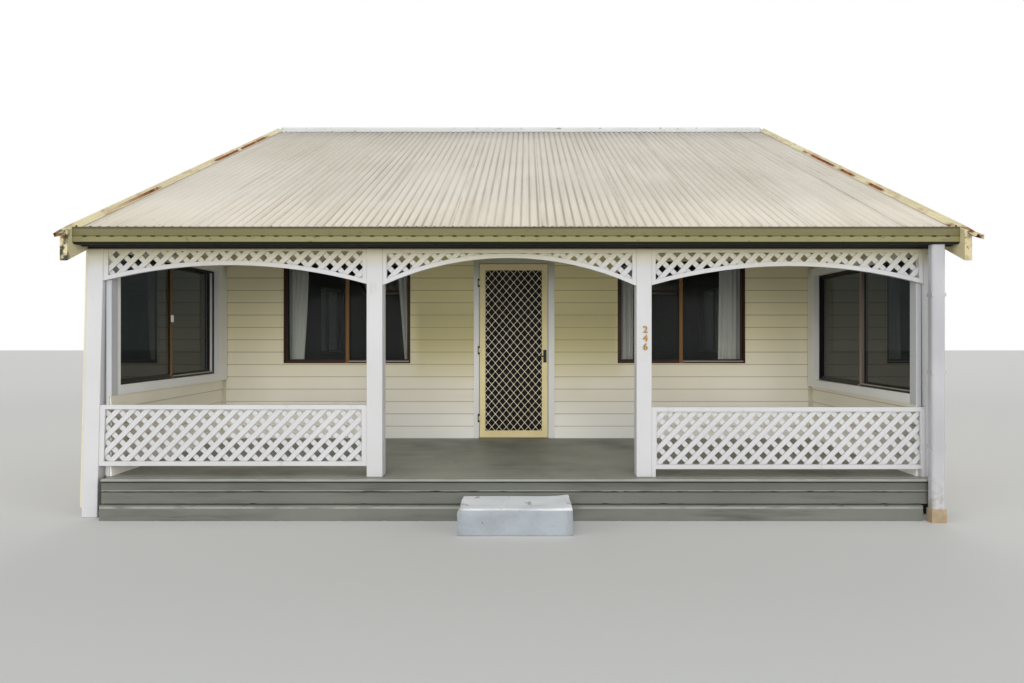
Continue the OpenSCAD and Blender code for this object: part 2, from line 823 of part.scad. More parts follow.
// Whole waves that fill the roof from barge board to barge board
sheet_w = 2 * (barge_in_x - sheet_side_gap);
wave_count = round(sheet_w / wave);
wave_w = sheet_w / wave_count;

// Waves with flat crests and hollows; the upper edge is the lower one raised by the thickness
wave_shape = [[-1 / 3, -1], [-1 / 6, -1], [1 / 6, 1], [1 / 3, 1]];

module sheet_section() {
    lower = [
        for (i = [0:wave_count - 1], p = wave_shape)
            [(i + 0.5 + p[0]) * wave_w - sheet_w / 2, p[1] * wave_half]
    ];
    upper = [for (i = [len(lower) - 1:-1:0]) lower[i] + [0, sheet_t]];
    polygon(concat(lower, upper));
}

module roof_slope() {
    start = ridge_gap / 2;
    length = sheet_end_y / cos(roof_pitch) - start;
    on_slope() translate([0, -start, 0]) rotate([90, 0, 0]) linear_extrude(length) sheet_section();
}

module roof_front() color("linen") roof_place() roof_slope();

module roof_rear() color("linen") roof_place() mirror([0, 1, 0]) roof_slope();

module ridge_cap() color("gainsboro") roof_place()
    along_x(-barge_in_x + barge_cap_in, barge_in_x - barge_cap_in) {
        polygon([
            [-ridge_cap_w, plane_z(ridge_cap_w, crest)], [0, plane_z(0, crest)],
            [ridge_cap_w, plane_z(ridge_cap_w, crest)],
            [ridge_cap_w, plane_z(ridge_cap_w, crest + cap_t)], [0, plane_z(0, crest + cap_t)],
            [-ridge_cap_w, plane_z(ridge_cap_w, crest + cap_t)]
        ]);
        translate([0, plane_z(0, crest) + 3]) circle(ridge_roll, $fn = few_sides);
    }

// A flat flange on the crests, a roll, and a lip over the outer face of the barge board
module barge_cap_section() {
    translate([barge_in_x - barge_cap_in, crest + seat])
        square([barge_cap_in + barge_t + cap_t, cap_t - seat]);
    translate([barge_in_x + barge_t / 2, crest + cap_t / 2]) intersection() {
        circle(cap_rib_r, $fn = few_sides);
        translate([-cap_rib_r, 0]) square([2 * cap_rib_r, cap_rib_r]);
    }
    translate([barge_out_x, crest + cap_t - barge_cap_lip]) square([cap_t, barge_cap_lip]);
}

// The inner flange stops behind the front of the gutter
module barge_caps() color("khaki") roof_place() both_sides() front_and_rear() difference() {
    past_ridge = 60;
    gutter_clear = 22;
    cap_l = (barge_foot_y + barge_cap_over) / cos(roof_pitch);
    on_slope() translate([0, past_ridge, 0]) rotate([90, 0, 0])
        linear_extrude(cap_l + past_ridge) barge_cap_section();
    cube(far);
    box([0, -far, 0], [barge_in_x, gutter_clear - gutter_front_y, far]);
}

module barge_boards() color("khaki") roof_place() both_sides() front_and_rear()
    along_x(barge_in_x, barge_out_x)
        polygon([
            [-barge_foot_y, plane_z(barge_foot_y, crest - barge_w)],
            [0, plane_z(0, crest - barge_w)], [0, plane_z(0, crest)],
            [-barge_foot_y, plane_z(barge_foot_y, crest)]
        ]);

module fascia_boards() color("ivory") roof_place() front_and_rear()
    along_x(-barge_in_x, barge_in_x)
        polygon([
            [-fascia_front_y, beam_z - 5], [-fascia_back_y, beam_z - 5],
            [-fascia_back_y, plane_z(fascia_back_y, purlin_top)],
            [-fascia_front_y, plane_z(fascia_front_y, purlin_top)]
        ]);

// The gutter's outer outline, closed at the top
gutter_outline = [
    [-fascia_front_y, gutter_lip_z - gutter_back_drop], [-fascia_front_y, gutter_z],
    [-gutter_front_y + gutter_bevel, gutter_z], [-gutter_front_y, gutter_z + gutter_bevel],
    [-gutter_front_y, gutter_lip_z]
];

module gutters() color("darkkhaki") roof_place() front_and_rear() {
    along_x(-barge_in_x, barge_in_x) difference() {
        polygon(gutter_outline);
        polygon([
            [-fascia_front_y - gutter_t, gutter_lip_z],
            [-fascia_front_y - gutter_t, gutter_z + gutter_t],
            [-gutter_front_y + gutter_bevel + gutter_t / 2, gutter_z + gutter_t],
            [-gutter_front_y + gutter_t, gutter_z + gutter_bevel + gutter_t / 2],
            [-gutter_front_y + gutter_t, gutter_lip_z + 1]
        ]);
    }
    for (x = [-barge_in_x, barge_in_x - gutter_t]) along_x(x, x + gutter_t) polygon(gutter_outline);
}

// One pipe at the right front corner and one at the left rear corner
module pipe_places() {
    for (turn = [0, 180]) rotate([0, 0, turn])
        translate([house_half_w - downpipe_in - downpipe_w, -deck_front_y - downpipe_d, 0])
            children();
}

module downpipes() color("white") pipe_places() difference() {
    translate([0, 0, stub_h]) cube([downpipe_w, downpipe_d, gutter_z - stub_h]);
    translate([gutter_t, gutter_t, stub_h - 1])
        cube([downpipe_w - 2 * gutter_t, downpipe_d - 2 * gutter_t, gutter_z]);
}

module downpipe_stubs() color("tan") pipe_places()
    translate([-5, -5, 0]) cube([downpipe_w + 10, downpipe_d + 5, stub_h]);

// Lining under the rafters of the verandah
lining_t = 8;

module verandah_ceiling() color("white")
    along_x(-inner_x, inner_x)
        polygon([
            [-post_back_y, plane_z(post_back_y, wall_top - lining_t)],
            [-front_wall_y, plane_z(front_wall_y, wall_top - lining_t)],
            [-front_wall_y, plane_z(front_wall_y, wall_top)],
            [-post_back_y, plane_z(post_back_y, wall_top)]
        ]);

module verandah_beam() color("white")
    along_x(-house_half_w - corner_post_out, house_half_w + corner_post_out)
        polygon([
            [-post_front_y, beam_z], [-post_back_y, beam_z],
            [-post_back_y, plane_z(post_back_y, wall_top)],
            [-post_front_y, plane_z(post_front_y, wall_top)]
        ]);

corner_in_x = house_half_w + corner_post_out - corner_post_w;

// The inner edges of the corner posts, which lean out towards their feet
function left_edge(z) = -corner_in_x - left_lean * (beam_z - z) / beam_z;
function right_edge(z) = corner_in_x + right_lean * (beam_z - z) / (beam_z - floor_z);

// The left corner post runs down to the ground, and the right one stands on the deck
module corner_posts() color("white") {
    facing(-post_front_y, beam_d)
        polygon([
            [left_edge(beam_z) - corner_post_w, beam_z], [left_edge(0) - corner_post_w, 0],
            [left_edge(0), 0], [left_edge(beam_z), beam_z]
        ]);
    facing(-post_front_y, beam_d)
        polygon([
            [right_edge(beam_z), beam_z], [right_edge(floor_z), floor_z],
            [right_edge(floor_z) + corner_post_w, floor_z],
            [right_edge(beam_z) + corner_post_w, beam_z]
        ]);
}

module verandah_posts() color("white") {
    for (post = [[left_post_x, left_post_w], [right_post_x, right_post_w]])
        translate([post[0] - post[1] / 2, -post_front_y, floor_z])
            cube([post[1], post[1], beam_z - floor_z]);
}

// Height of an arch over its ends, at a distance from its middle
function arch_z(x, span, rise) =
    let (r = (span * span / 4 + rise * rise) / (2 * rise)) sqrt(r * r - x * x) - r + rise;

// One layer of laths, leaning to the right or to the left; the origin is in the middle of
// one of the openings between them
module lath_layer(reach, step, lean) {
    half_count = ceil(reach / step) + 1;
    for (k = [-half_count:half_count])
        translate([(k + 0.5) * step, 0]) rotate(lean)
            square([2 * reach, lath_w], center = true);
}

// A frame with the laths leaning right in front of the laths leaning left; the outline of
// the panel is child 0, the space inside its frame is child 1, and opening is the middle of
// one opening
module lattice_panel(opening, reach, step, tilt) {
    facing(lattice_y, lattice_frame_d) difference() {
        children(0);
        children(1);
    }
    first = lattice_y + lattice_frame_d / 2 - lath_t;
    for (layer = [0, 1])
        facing(first + layer * lath_t, lath_t) intersection() {
            children(1);
            translate(opening) rotate(tilt) lath_layer(reach, step, layer == 0 ? 45 : -45);
        }
}

left_bay = [-corner_in_x, left_post_x - left_post_w / 2];
middle_bay = [left_post_x + left_post_w / 2, right_post_x - right_post_w / 2];
right_bay = [right_post_x + right_post_w / 2, corner_in_x];
bays = [left_bay, middle_bay, right_bay];

// Where the lattice of each valance has an opening, from the middle of its bay at the beam,
// and how far it hangs askew
valance_openings = [[-15, -88], [62, -103], [20, -99]];
valance_tilts = [-1.16, 0, 1.2];
arch_points = 16;

// The lower edge of a valance, at a share of its span from the left
function valance_z(i, share, span) =
    beam_z - valance_h[i][0] - (valance_h[i][1] - valance_h[i][0]) * share
    + arch_z((share - 0.5) * span, span, valance_rise[i]);

// A flat top, straight ends and an arched lower edge; ends are the lower corners' shifts
module valance_outline(i, stile, top, foot, ends) {
    left = bays[i][0];
    span = bays[i][1] - left;
    inset = stile / span;
    polygon(concat(
        [[left + stile, beam_z - top], [left + span - stile, beam_z - top]],
        [for (k = [arch_points:-1:0])
            let (share = inset + (1 - 2 * inset) * k / arch_points,
                 end = k == 0 ? ends[0] : k == arch_points ? ends[1] : 0)
            [left + share * span + end, valance_z(i, share, span) + foot]]
    ));
}

// Most of the least height of a valance that its top rail and its arched rail may take
top_share = 0.58;
foot_share = 0.4;

// The ends next to a leaning corner post follow it
module valance(i) {
    span = bays[i][1] - bays[i][0];
    least = (valance_h[i][0] + valance_h[i][1]) / 2 - valance_rise[i];
    top = min(valance_top_h[i], top_share * least);
    foot = min(valance_foot_h, foot_share * least);
    left_end = i == 0 ? left_edge(beam_z - valance_h[0][0]) + corner_in_x : 0;
    right_end = i == 2 ? right_edge(beam_z - valance_h[2][1]) - corner_in_x : 0;
    opening = [(bays[i][0] + bays[i][1]) / 2, beam_z] + valance_openings[i];
    lattice_panel(opening, span, valance_steps[i], valance_tilts[i]) {
        valance_outline(i, 0, 0, 0, [left_end, right_end]);
        valance_outline(i, valance_stile_w, top, foot, [0, 0]);
    }
}

module valance_left() color("white") valance(0);

module valance_middle() color("white") valance(1);

module valance_right() color("white") valance(2);

// Corners of a balustrade between its left and right edges at the foot and at the top
function rail_outline(low, high, left, right, stile, rail) = [
    [left[0] + stile, low + rail], [right[0] - stile, low + rail],
    [right[1] - stile, high - rail], [left[1] + stile, high - rail]
];

module balustrade(low, high, left, right, opening, step) {
    lattice_panel(opening, right[0] - left[0], step, 0) {
        polygon(rail_outline(low, high, left, right, 0, 0));
        polygon(rail_outline(low, high, left, right, balustrade_stile_w, rail_h));
    }
}

// Where each balustrade has an opening, from the middle of its bay at the deck
left_rail_opening = [4, 390];
right_rail_opening = [-10, 508];

module balustrade_left() color("white") {
    low = floor_z + left_rail_foot;
    high = low + left_rail_h;
    middle = [(left_bay[0] + left_bay[1]) / 2, floor_z];
    balustrade(low, high, [left_edge(low) + seat, left_edge(high) + seat],
               [left_bay[1], left_bay[1]], middle + left_rail_opening, balustrade_steps[0]);
}

// The right panel stands on a short leg at each end
module balustrade_right() color("white") {
    low = floor_z + right_rail_foot;
    high = low + right_rail_h;
    middle = [(right_bay[0] + right_bay[1]) / 2, floor_z];
    balustrade(low, high, [right_bay[0], right_bay[0]],
               [right_edge(low) - seat, right_edge(high) - seat],
               middle + right_rail_opening, balustrade_steps[1]);
    for (x = [right_bay[0], right_edge(low) - seat - valance_stile_w])
        box([x, lattice_y, floor_z], [x + valance_stile_w, lattice_y + lattice_frame_d, low]);
}

rod_y = -front_wall_y + wall_t + rod_out;
// How far a rod runs past its window, and the width and place of its brackets
rod_past = 60;
bracket_w = 20;
bracket_in = 10;

module curtain_rods() color("silver")
    for (edges = [front_win_left_x, front_win_right_x]) {
        rod_l = edges[1] - edges[0] + 2 * rod_past;
        translate([edges[0] - rod_past, rod_y, floor_z + rod_z]) rotate([0, 90, 0])
            cylinder(h = rod_l, r = rod_r, $fn = few_sides);
        far_bracket = rod_l - bracket_w - bracket_in;
        for (x = [bracket_in, far_bracket])
            translate([edges[0] - rod_past + x, 0, 0])
                box([0, -front_wall_y + wall_t, floor_z + rod_z - rod_r / 2],
                    [bracket_w, rod_y, floor_z + rod_z + rod_r / 2]);
    }

// Each curtain hangs from its rod in folds that are drawn here as a plain strip
module curtains() color("whitesmoke")
    for (edges = curtain_x)
        box([edges[0], rod_y - curtain_t / 2, floor_z + rod_z - rod_r - 0.3 - curtain_l],
            [edges[1], rod_y + curtain_t / 2, floor_z + rod_z - rod_r - 0.3]);

stumps();
floor_bearers();
floor_joists();
base_boards();
house_floor();
verandah_deck();
deck_skirt();
steps();
front_wall_left();
front_wall_right();
front_wall_over_door();
left_wall();
right_wall();
rear_wall();
corner_boards();
wing_casings();
wing_windows();
front_windows();
house_windows();
window_glass();
door_frame();
door_hinges();
screen_door();
screen_grille();
screen_mesh();
screen_handle();
rear_door();
ridge_board();
rafters();
purlins();
roof_front();
roof_rear();
ridge_cap();
barge_caps();
barge_boards();
fascia_boards();
gutters();
downpipes();
downpipe_stubs();
verandah_ceiling();
verandah_beam();
corner_posts();
verandah_posts();
valance_left();
valance_middle();
valance_right();
balustrade_left();
balustrade_right();
curtain_rods();
curtains();
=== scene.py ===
# %% [markdown]
# # A timber beach house, dressed in Blender
# The solids of the house come from a fixed frame in metres: walls, roof, posts, windows. This
# lesson gives them what a builder and thirty years of weather would: boards, corrugated iron,
# paint, rust and cloth. Every piece keeps its place in its own mesh, so nothing has to be fitted.

# %% Load the frame
import json
import math
import random

import bmesh
import bpy
from mathutils import Matrix, Vector, noise


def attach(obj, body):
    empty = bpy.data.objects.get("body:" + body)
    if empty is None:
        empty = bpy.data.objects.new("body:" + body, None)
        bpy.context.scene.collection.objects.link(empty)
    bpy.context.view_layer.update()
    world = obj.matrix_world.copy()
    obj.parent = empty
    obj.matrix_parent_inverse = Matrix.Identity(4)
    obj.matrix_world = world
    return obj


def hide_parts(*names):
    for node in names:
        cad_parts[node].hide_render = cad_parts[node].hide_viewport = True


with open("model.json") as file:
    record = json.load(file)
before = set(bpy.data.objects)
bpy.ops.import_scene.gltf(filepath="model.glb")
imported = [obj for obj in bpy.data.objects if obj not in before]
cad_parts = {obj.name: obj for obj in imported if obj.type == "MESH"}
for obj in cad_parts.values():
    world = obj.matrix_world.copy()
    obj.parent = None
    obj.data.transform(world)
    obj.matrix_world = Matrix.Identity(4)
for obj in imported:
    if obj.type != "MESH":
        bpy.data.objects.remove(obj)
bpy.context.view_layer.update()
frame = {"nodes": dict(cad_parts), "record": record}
scene = bpy.context.scene
HOUSE, LEAF = "house", "screen_door_leaf"
FRONT_WALL, REAR_WALL = -2.43, 4.637
INNER_X, OUTER_X = 3.51, 3.655
FLOOR_Z, RIDGE_Z = 0.35, 4.735
PITCH = math.radians(25)

# %% [markdown]
# ## The camera
# A photographer stood on the path, looking level at the house. A level camera keeps the posts
# upright. The vanishing point of the side walls lies a little off the middle of the picture, so
# the lens is shifted by that much and not turned.

# %% Camera
def link(name, data):
    made = bpy.data.objects.new(name, data)
    scene.collection.objects.link(made)
    return made


FOCAL_PX, SENSOR_MM = 688, 36
IMAGE_PX, VANISHING_PX = (1024, 683), (527, 335)
lens = bpy.data.cameras.new("street_camera")
lens.sensor_width = SENSOR_MM
lens.lens = SENSOR_MM * FOCAL_PX / IMAGE_PX[0]
lens.shift_x = (IMAGE_PX[0] / 2 - VANISHING_PX[0]) / IMAGE_PX[0]
lens.shift_y = (VANISHING_PX[1] - IMAGE_PX[1] / 2) / IMAGE_PX[0]
lens.clip_end = 200
camera = link("street_camera", lens)
camera.location = (0.115, -10.62, 1.576)
camera.rotation_euler = (math.radians(90), 0, 0)
scene.camera = camera
scene.view_settings.view_transform = "Standard"
print("lens", round(lens.lens, 2), "mm")

# %% [markdown]
# ## Finishes are made of nodes
# One function turns a hex colour, as a paint chart gives it, into the linear light that a shader
# works in, and one adds a node. The others are named for what they draw: soft patches whose size
# is given in millimetres, masks by place, and coats of colour laid one over another.

# %% Colours, nodes and patches
def linear(hex_colour):
    parts = [int(hex_colour[i:i + 2], 16) / 255 for i in (1, 3, 5)]
    return [v / 12.92 if v <= 0.04045 else ((v + 0.055) / 1.055) ** 2.4 for v in parts] + [1.0]


def feed(tree, socket, value):
    if isinstance(value, bpy.types.NodeSocket):
        tree.links.new(value, socket)
    else:
        socket.default_value = value


def add(tree, kind, inputs=None, **settings):
    made = tree.nodes.new("ShaderNode" + kind)
    for name, value in settings.items():
        setattr(made, name, value)
    for key, value in (inputs or {}).items():
        feed(tree, made.inputs[key], value)
    return made


def both(tree, first, second, how="MULTIPLY"):
    return add(tree, "Math", {0: first, 1: second}, operation=how).outputs[0]


def patches(tree, size_mm, low=0.35, high=0.65, stretch=(1, 1, 1), detail=4, seed=0.0):
    """Soft patches; a stretch below 1 draws them out along its axis."""
    place = add(tree, "TexCoord").outputs["Object"]
    scale = [s * 1000 / size_mm for s in stretch]
    moved = add(tree, "Mapping", {"Vector": place, "Scale": scale, "Location": (seed,) * 3})
    cloud = add(tree, "TexNoise", {"Vector": moved.outputs[0], "Scale": 1.0, "Detail": detail})
    return add(tree, "MapRange", {0: cloud.outputs[0], 1: low, 2: high}).outputs[0]


FINISHES = {}


def new_finish(slot, name):
    made = bpy.data.materials.new(name)
    made.use_nodes = True
    FINISHES[slot] = made
    return made.node_tree, made.node_tree.nodes["Principled BSDF"]


def wire(tree, shader, colour, rough, height=None, depth_mm=0.0):
    feed(tree, shader.inputs["Base Color"], colour)
    feed(tree, shader.inputs["Roughness"], rough)
    if height is not None:
        bump = add(tree, "Bump", {"Height": height, "Distance": depth_mm / 1000})
        tree.links.new(bump.outputs[0], shader.inputs["Normal"])


# %% [markdown]
# Dirt, fading and rust sit at known places: under the eaves, along a lap, at the foot of a wall.
# A band says what is read and where it starts and is full, then where it fades and ends. What is
# read may be an axis of the piece (0, 1 or 2), a mask, or a function that makes one in the tree.

# %% Masks by place, and coats of colour
def reading(tree, source):
    if callable(source):
        return source(tree)
    if not isinstance(source, int):
        return source
    place = add(tree, "TexCoord").outputs["Object"]
    return add(tree, "SeparateXYZ", {0: place}).outputs[source]


def where(tree, *bands):
    """A mask that is 1 where all its bands meet; a band without limits is taken as it is."""
    mask = None
    for band in bands:
        source, *limits = band if isinstance(band, tuple) else [band]
        value = reading(tree, source)
        parts = [add(tree, "MapRange", {0: value, 1: low, 2: high}).outputs[0]
                 for low, high in filter(None, (limits[:2], limits[:1:-1]))]
        for part in parts or [value]:
            mask = part if mask is None else both(tree, mask, part)
    return mask


def coated(tree, below, *coats):
    """A colour under coats, each with the bands in which it shows."""
    for above, *bands in coats:
        under, over = [linear(c) if isinstance(c, str) else c for c in (below, above)]
        mixed = add(tree, "Mix", {0: where(tree, *bands), 6: under, 7: over}, data_type="RGBA")
        below = mixed.outputs[2]
    return below


def repaint(slot, colour, *bands):
    """One more coat on a finish that is there already."""
    tree = FINISHES[slot].node_tree
    socket = tree.nodes["Principled BSDF"].inputs["Base Color"]
    tree.links.new(coated(tree, socket.links[0].from_socket, (colour, *bands)), socket)


def ragged(*recipe):
    return lambda tree: patches(tree, *recipe)


def at_least(least, source, low=0, high=1):
    """A band that never falls below its least share."""
    return lambda tree: add(tree, "MapRange", {0: reading(tree, source), 1: low, 2: high,
                                               3: least}).outputs[0]


def away_from(middle, axis=0):
    """How far a spot lies from a plane, on either side."""
    def value(tree):
        apart = both(tree, reading(tree, axis), middle, "SUBTRACT")
        return add(tree, "Math", {0: apart}, operation="ABSOLUTE").outputs[0]
    return value


def every(pitch, start, axis=0):
    """How far a spot is past the last of a row of marks."""
    return lambda tree: both(tree, both(tree, reading(tree, axis), start, "SUBTRACT"), pitch,
                             "FLOORED_MODULO")


def crest_of(pitch, start):
    """1 on each crest of a wave across the house, and -1 in each hollow."""
    def value(tree):
        turn = both(tree, both(tree, reading(tree, 0), start, "SUBTRACT"), math.tau / pitch)
        return add(tree, "Math", {0: turn}, operation="COSINE").outputs[0]
    return value


# %% [markdown]
# ## House paint
# Paint on outdoor timber is never one colour: it fades in broad clouds, the grain stands up under
# it, and dust and mildew gather in streaks. One recipe gives all of these, with the colour of the
# paint, the colour of its grime and the way the grain runs.

# %% Painted timber
ALONG_BOARDS, UP_POSTS, EVERY_WAY = (0.06, 0.06, 1), (1, 1, 0.06), (0.5, 0.5, 0.5)


def painted_timber(slot, name, fresh, faded, grime, stretch, rough=0.5, depth_mm=0.4, dirt=0.58):
    tree, shader = new_finish(slot, name)
    cloud = patches(tree, 900)
    grain = patches(tree, 25, 0.3, 0.7, stretch)
    fine = patches(tree, 6, 0.3, 0.7, stretch, 2)
    streaks = (0.15, 0.15, 1) if stretch == ALONG_BOARDS else (1, 1, 0.3)
    stain = patches(tree, 160, dirt, dirt + 0.2, streaks, 6, 3.1)
    colour = coated(tree, fresh, (faded, cloud), (grime, stain, grain))
    sheen = add(tree, "MapRange", {0: cloud, 3: rough, 4: rough + 0.12}).outputs[0]
    wire(tree, shader, colour, sheen, both(tree, grain, fine, "ADD"), depth_mm)


CREAM = ("#f5f0e0", "#efe9d6", "#c9c0a2", ALONG_BOARDS, 0.5, 0.3, 0.72)
painted_timber("cream_cladding", "cream satin paint on weatherboard", *CREAM)
painted_timber("lined_walls", "cream paint outside, near-black painted shade inside", *CREAM)
painted_timber("cream_trim", "cream satin paint on planed pine", "#dbd6bf", "#d2ccb3",
               "#9f977b", UP_POSTS, 0.45, 0.25)
painted_timber("fascia", "cream paint on pine, black painted shade below", "#dbd6bf", "#d2ccb3",
               "#9f977b", ALONG_BOARDS, 0.5, 0.25)
painted_timber("white_paint", "white gloss paint on planed hardwood", "#d1d1d3", "#cacacb",
               "#a3a298", UP_POSTS, 0.38, 0.3, 0.6)
# Painted light: a brighter copy of the white for the door frame and the wing casings, which stand in
# the verandah's shade; the latches use it too.
painted_timber("brightened_white", "white gloss paint on pine, painted brighter against shade", "#f3f3f1", "#ebebe8",
               "#c9c7bd", UP_POSTS, 0.35, 0.2, 0.66)
painted_timber("barge_timber", "cream gloss paint on hardwood, mildewed", "#ddd3ab", "#cdc29a",
               "#a69c78", ALONG_BOARDS, 0.45, 0.3, 0.62)
painted_timber("deck_paint", "worn grey paving paint on hardwood", "#979990", "#8b8d85",
               "#55574f", ALONG_BOARDS, 0.42, 0.6, 0.5)
painted_timber("grey_boards", "worn slate-grey paint on hardwood", "#787a73", "#6e706a",
               "#464842", ALONG_BOARDS, 0.5, 0.7, 0.5)
painted_timber("floor_boards", "varnished hardwood boards", "#6e4a2e", "#5f3f27",
               "#3f2a1b", ALONG_BOARDS, 0.3, 0.2)
painted_timber("frame_timber", "rough-sawn pine", "#8f7352", "#806545",
               "#5c4830", EVERY_WAY, 0.75, 0.8)
print("painted timbers:", len(FINISHES))

# %% [markdown]
# Under the verandah roof the cream is painted yellower from the middle of the wall up, most of all
# beside the door, and darker in a band beside the door: painted shade under the roof, with the
# yellow of the light bounced in there. The foot of the wall is painted paler: a painted pool of
# light. Each board is darker just under the next one's lap: dirt and painted shade. The trim is
# painted yellower under the eaves and black in a band where it meets the gutter, the fascia is
# black below, the front ends of the wing casings are grey and the top of the door frame is
# darker: all painted shade. The white is darker in the corners where laths cross, where less
# light reaches: painted shade. The deck and the skirting are worn to bare wood along their edges,
# and these pale strips are painted highlights too; the skirting is painted darker towards its
# top, with a black line under the nosing: painted shade and a painted shadow. The lining and the
# wall frame indoors are painted near-black: painted shade.

# %% Weather, painted light and shade on the paint
COVER = 0.1468
ASIDE = away_from(0)
SHELTERED = ((ASIDE, 3.6, 3.57), (1, -2.36, -2.42))
INDOORS = ((ASIDE, 3.6, 3.58), (1, -2.405, -2.395, 4.58, 4.6))
# Black for the painted shade and painted shadow under the gutter.
PAINTED_SHADE_BLACK = "#1d1b10"


def crevice(tree):
    """Light that reaches a spot from close by: low in the corners where laths cross."""
    return add(tree, "AmbientOcclusion", {"Distance": 0.011}, samples=6).outputs["AO"]


# Painted shade: yellower from the middle of the wall up under the verandah roof, most beside the
# door.
repaint("cream_cladding", "#f3e7b0", *SHELTERED, (2, 0.95, 1.7), at_least(0.6, ASIDE, 1.3, 1.15))
# Painted shade: a darker band on the wall beside the door.
repaint("cream_cladding", "#d4ca99", *SHELTERED, (2, 1.0, 1.5, 1.8, 2.1), (ASIDE, 1.3, 1.15))
# Painted light: the foot of the wall under the verandah is painted paler.
repaint("cream_cladding", "#fffdf6", *SHELTERED, (2, 0.85, 0.5))
# Dirt and painted shade: each board is darker just under the next one's lap.
repaint("cream_cladding", "#b0a274", (every(COVER, FLOOR_Z, 2), COVER - 0.014, COVER - 0.001))
# Painted shade: the lining and the wall frame indoors are painted near-black.
repaint("lined_walls", "#191a18", *INDOORS)
repaint("frame_timber", "#1a1815", *INDOORS)
repaint("barge_timber", "#3d3a27", (1, -4.9, -4.95), at_least(0.3, 0, 0, -1),
        ragged(34, 0.48, 0.58, EVERY_WAY, 6, 6.0))
repaint("barge_timber", "#94562f", (1, -4.93, -4.95), ragged(22, 0.64, 0.68, EVERY_WAY, 3, 9.0))
# Painted shade: the white is darker in the corners where laths cross, where less light reaches.
repaint("white_paint", "#8f8c7c", 0.6, (crevice, 0.95, 0.55))
# Painted shade: the front trim is painted yellower and darker at its top, under the eaves.
repaint("white_paint", "#c6c0a2", (2, 2.14, 2.30), (1, -4.4, -4.5))
# Painted shadow: a black band on the trim where it meets the gutter.
repaint("white_paint", PAINTED_SHADE_BLACK, (2, 2.309, 2.323, 2.345, 2.35))
# Painted shade: the fascia is painted black below.
repaint("fascia", PAINTED_SHADE_BLACK, (2, 2.36, 2.345))
# Painted shade: the front ends of the wing casings are painted grey.
repaint("brightened_white", "#bfc1c4", (1, -4.55, -4.57))
# Painted shade: the top of the door frame and of the casings beside it is painted darker.
repaint("brightened_white", "#bdbba0", (2, 2.2, 2.42), (1, -2.6, -2.5))
# Worn paint and a painted highlight: a pale line along the top edge of the deck's nosing.
repaint("deck_paint", "#a3a49b", (2, 0.339, 0.344), (1, -4.766, -4.771),
        ragged(90, 0.3, 0.55, (0.4, 1, 1)))
# Painted shade: the skirting is painted darker towards its top, under the deck.
repaint("grey_boards", "#3f403a", 0.42, (2, 0.13, 0.31))
# Worn paint and painted highlights: pale strips along the edges of the skirting boards.
for low, high, bare in ((0.243, 0.252, "#94958c"), (0.106, 0.121, "#989990")):
    repaint("grey_boards", bare, (2, low - 0.003, low, high, high + 0.003),
            ragged(70, 0.3, 0.5, (0.3, 1, 1)))
# Painted shadow: a black line on the skirting under the deck's nosing.
repaint("grey_boards", "#1b1a15", (2, 0.314, 0.321), (1, -4.74, -4.75))
print("weather, painted light and shade laid on the paint")

# %% [markdown]
# ## Sheet metal, concrete, glass and cloth
# The roof is painted steel that has chalked to a warm grey: its dirt runs down the slope, lies in
# the hollows and sits at the laps, and the whole sheet darkens towards the ridge.

# %% Chalky roof paint
ROOF_SHIFT, WAVE, SHEET_COVER, FIRST_LAP = 0.024, 0.0762, 0.762, -0.525
tree, shader = new_finish("roof_sheet", "chalked cream paint on corrugated steel")
cloud = patches(tree, 1500)
colour = coated(
    tree, "#d9d3c7", ("#ccc5b7", cloud),
    ("#bdb4a3", patches(tree, 90, 0.5, 0.85, (1, 0.05, 0.05), 5, 7.0)),
    ("#8f8674", patches(tree, 14, 0.66, 0.74, EVERY_WAY, 3, 2.0), cloud),
    ("#8f8573", 0.75, (crest_of(WAVE, ROOF_SHIFT), -0.5, -0.95),
     at_least(0.4, away_from(-0.3), 3.2, 1.3),
     at_least(0.25, ragged(1100, 0.38, 0.6, (1, 0.5, 0.5), 3, 4.0))),
    ("#857963", (every(SHEET_COVER, FIRST_LAP), 0.022, 0.004), at_least(0.3, 0, 0.5, -1.7),
     patches(tree, 700, 0.44, 0.6, (1, 1, 1), 4, 9.0)),
    ("#7d7768", 0.22, (2, 2.7, 4.4)))
wire(tree, shader, colour, 0.55, patches(tree, 30, 0.3, 0.7), 0.25)
print("roof paint:", len(tree.nodes), "nodes")

# %% [markdown]
# The cappings are enamelled steel that has rusted where the paint has gone: at the torn feet, in
# the valley between the two rolls and by the ridge. Rust is rough and stands up from the paint.

# %% Rusted cappings
tree, shader = new_finish("barge_paint", "cream enamel on rusting steel")
rust_tone = coated(tree, "#9a5a34", ("#5f3822", patches(tree, 20, 0.4, 0.6, EVERY_WAY)))
valley = where(tree, (away_from(ROOF_SHIFT), 3.645, 3.652, 3.70, 3.712))
on_left = (0, 0, -1)
rust = where(tree, patches(tree, 120, 0.53, 0.6, EVERY_WAY, 8, 4.0), at_least(0.25, 2, 2.75, 2.45))
for bands in (((2, 2.6, 3.0, 4.0, 4.3), ragged(520, 0.5, 0.54, EVERY_WAY, 6, 12.0)),
              ((2, 3.7, 3.95, 4.4, 4.5), on_left, ragged(130, 0.38, 0.46, EVERY_WAY, 6, 8.0))):
    rust = both(tree, rust, where(tree, valley, *bands), "MAXIMUM")
colour = coated(
    tree, "#ddd3ab", ("#cdc29a", patches(tree, 500)), (rust_tone, rust),
    ("#3d3727", on_left, (1, -4.9, -4.96), patches(tree, 34, 0.5, 0.6, EVERY_WAY, 6, 6.0)),
    (rust_tone, (1, -4.985, -5.02), patches(tree, 60, 0.3, 0.5, EVERY_WAY, 4),
     at_least(0.35, 0, 0, -1)))
sheen = add(tree, "MapRange", {0: rust, 3: 0.42, 4: 0.9}).outputs[0]
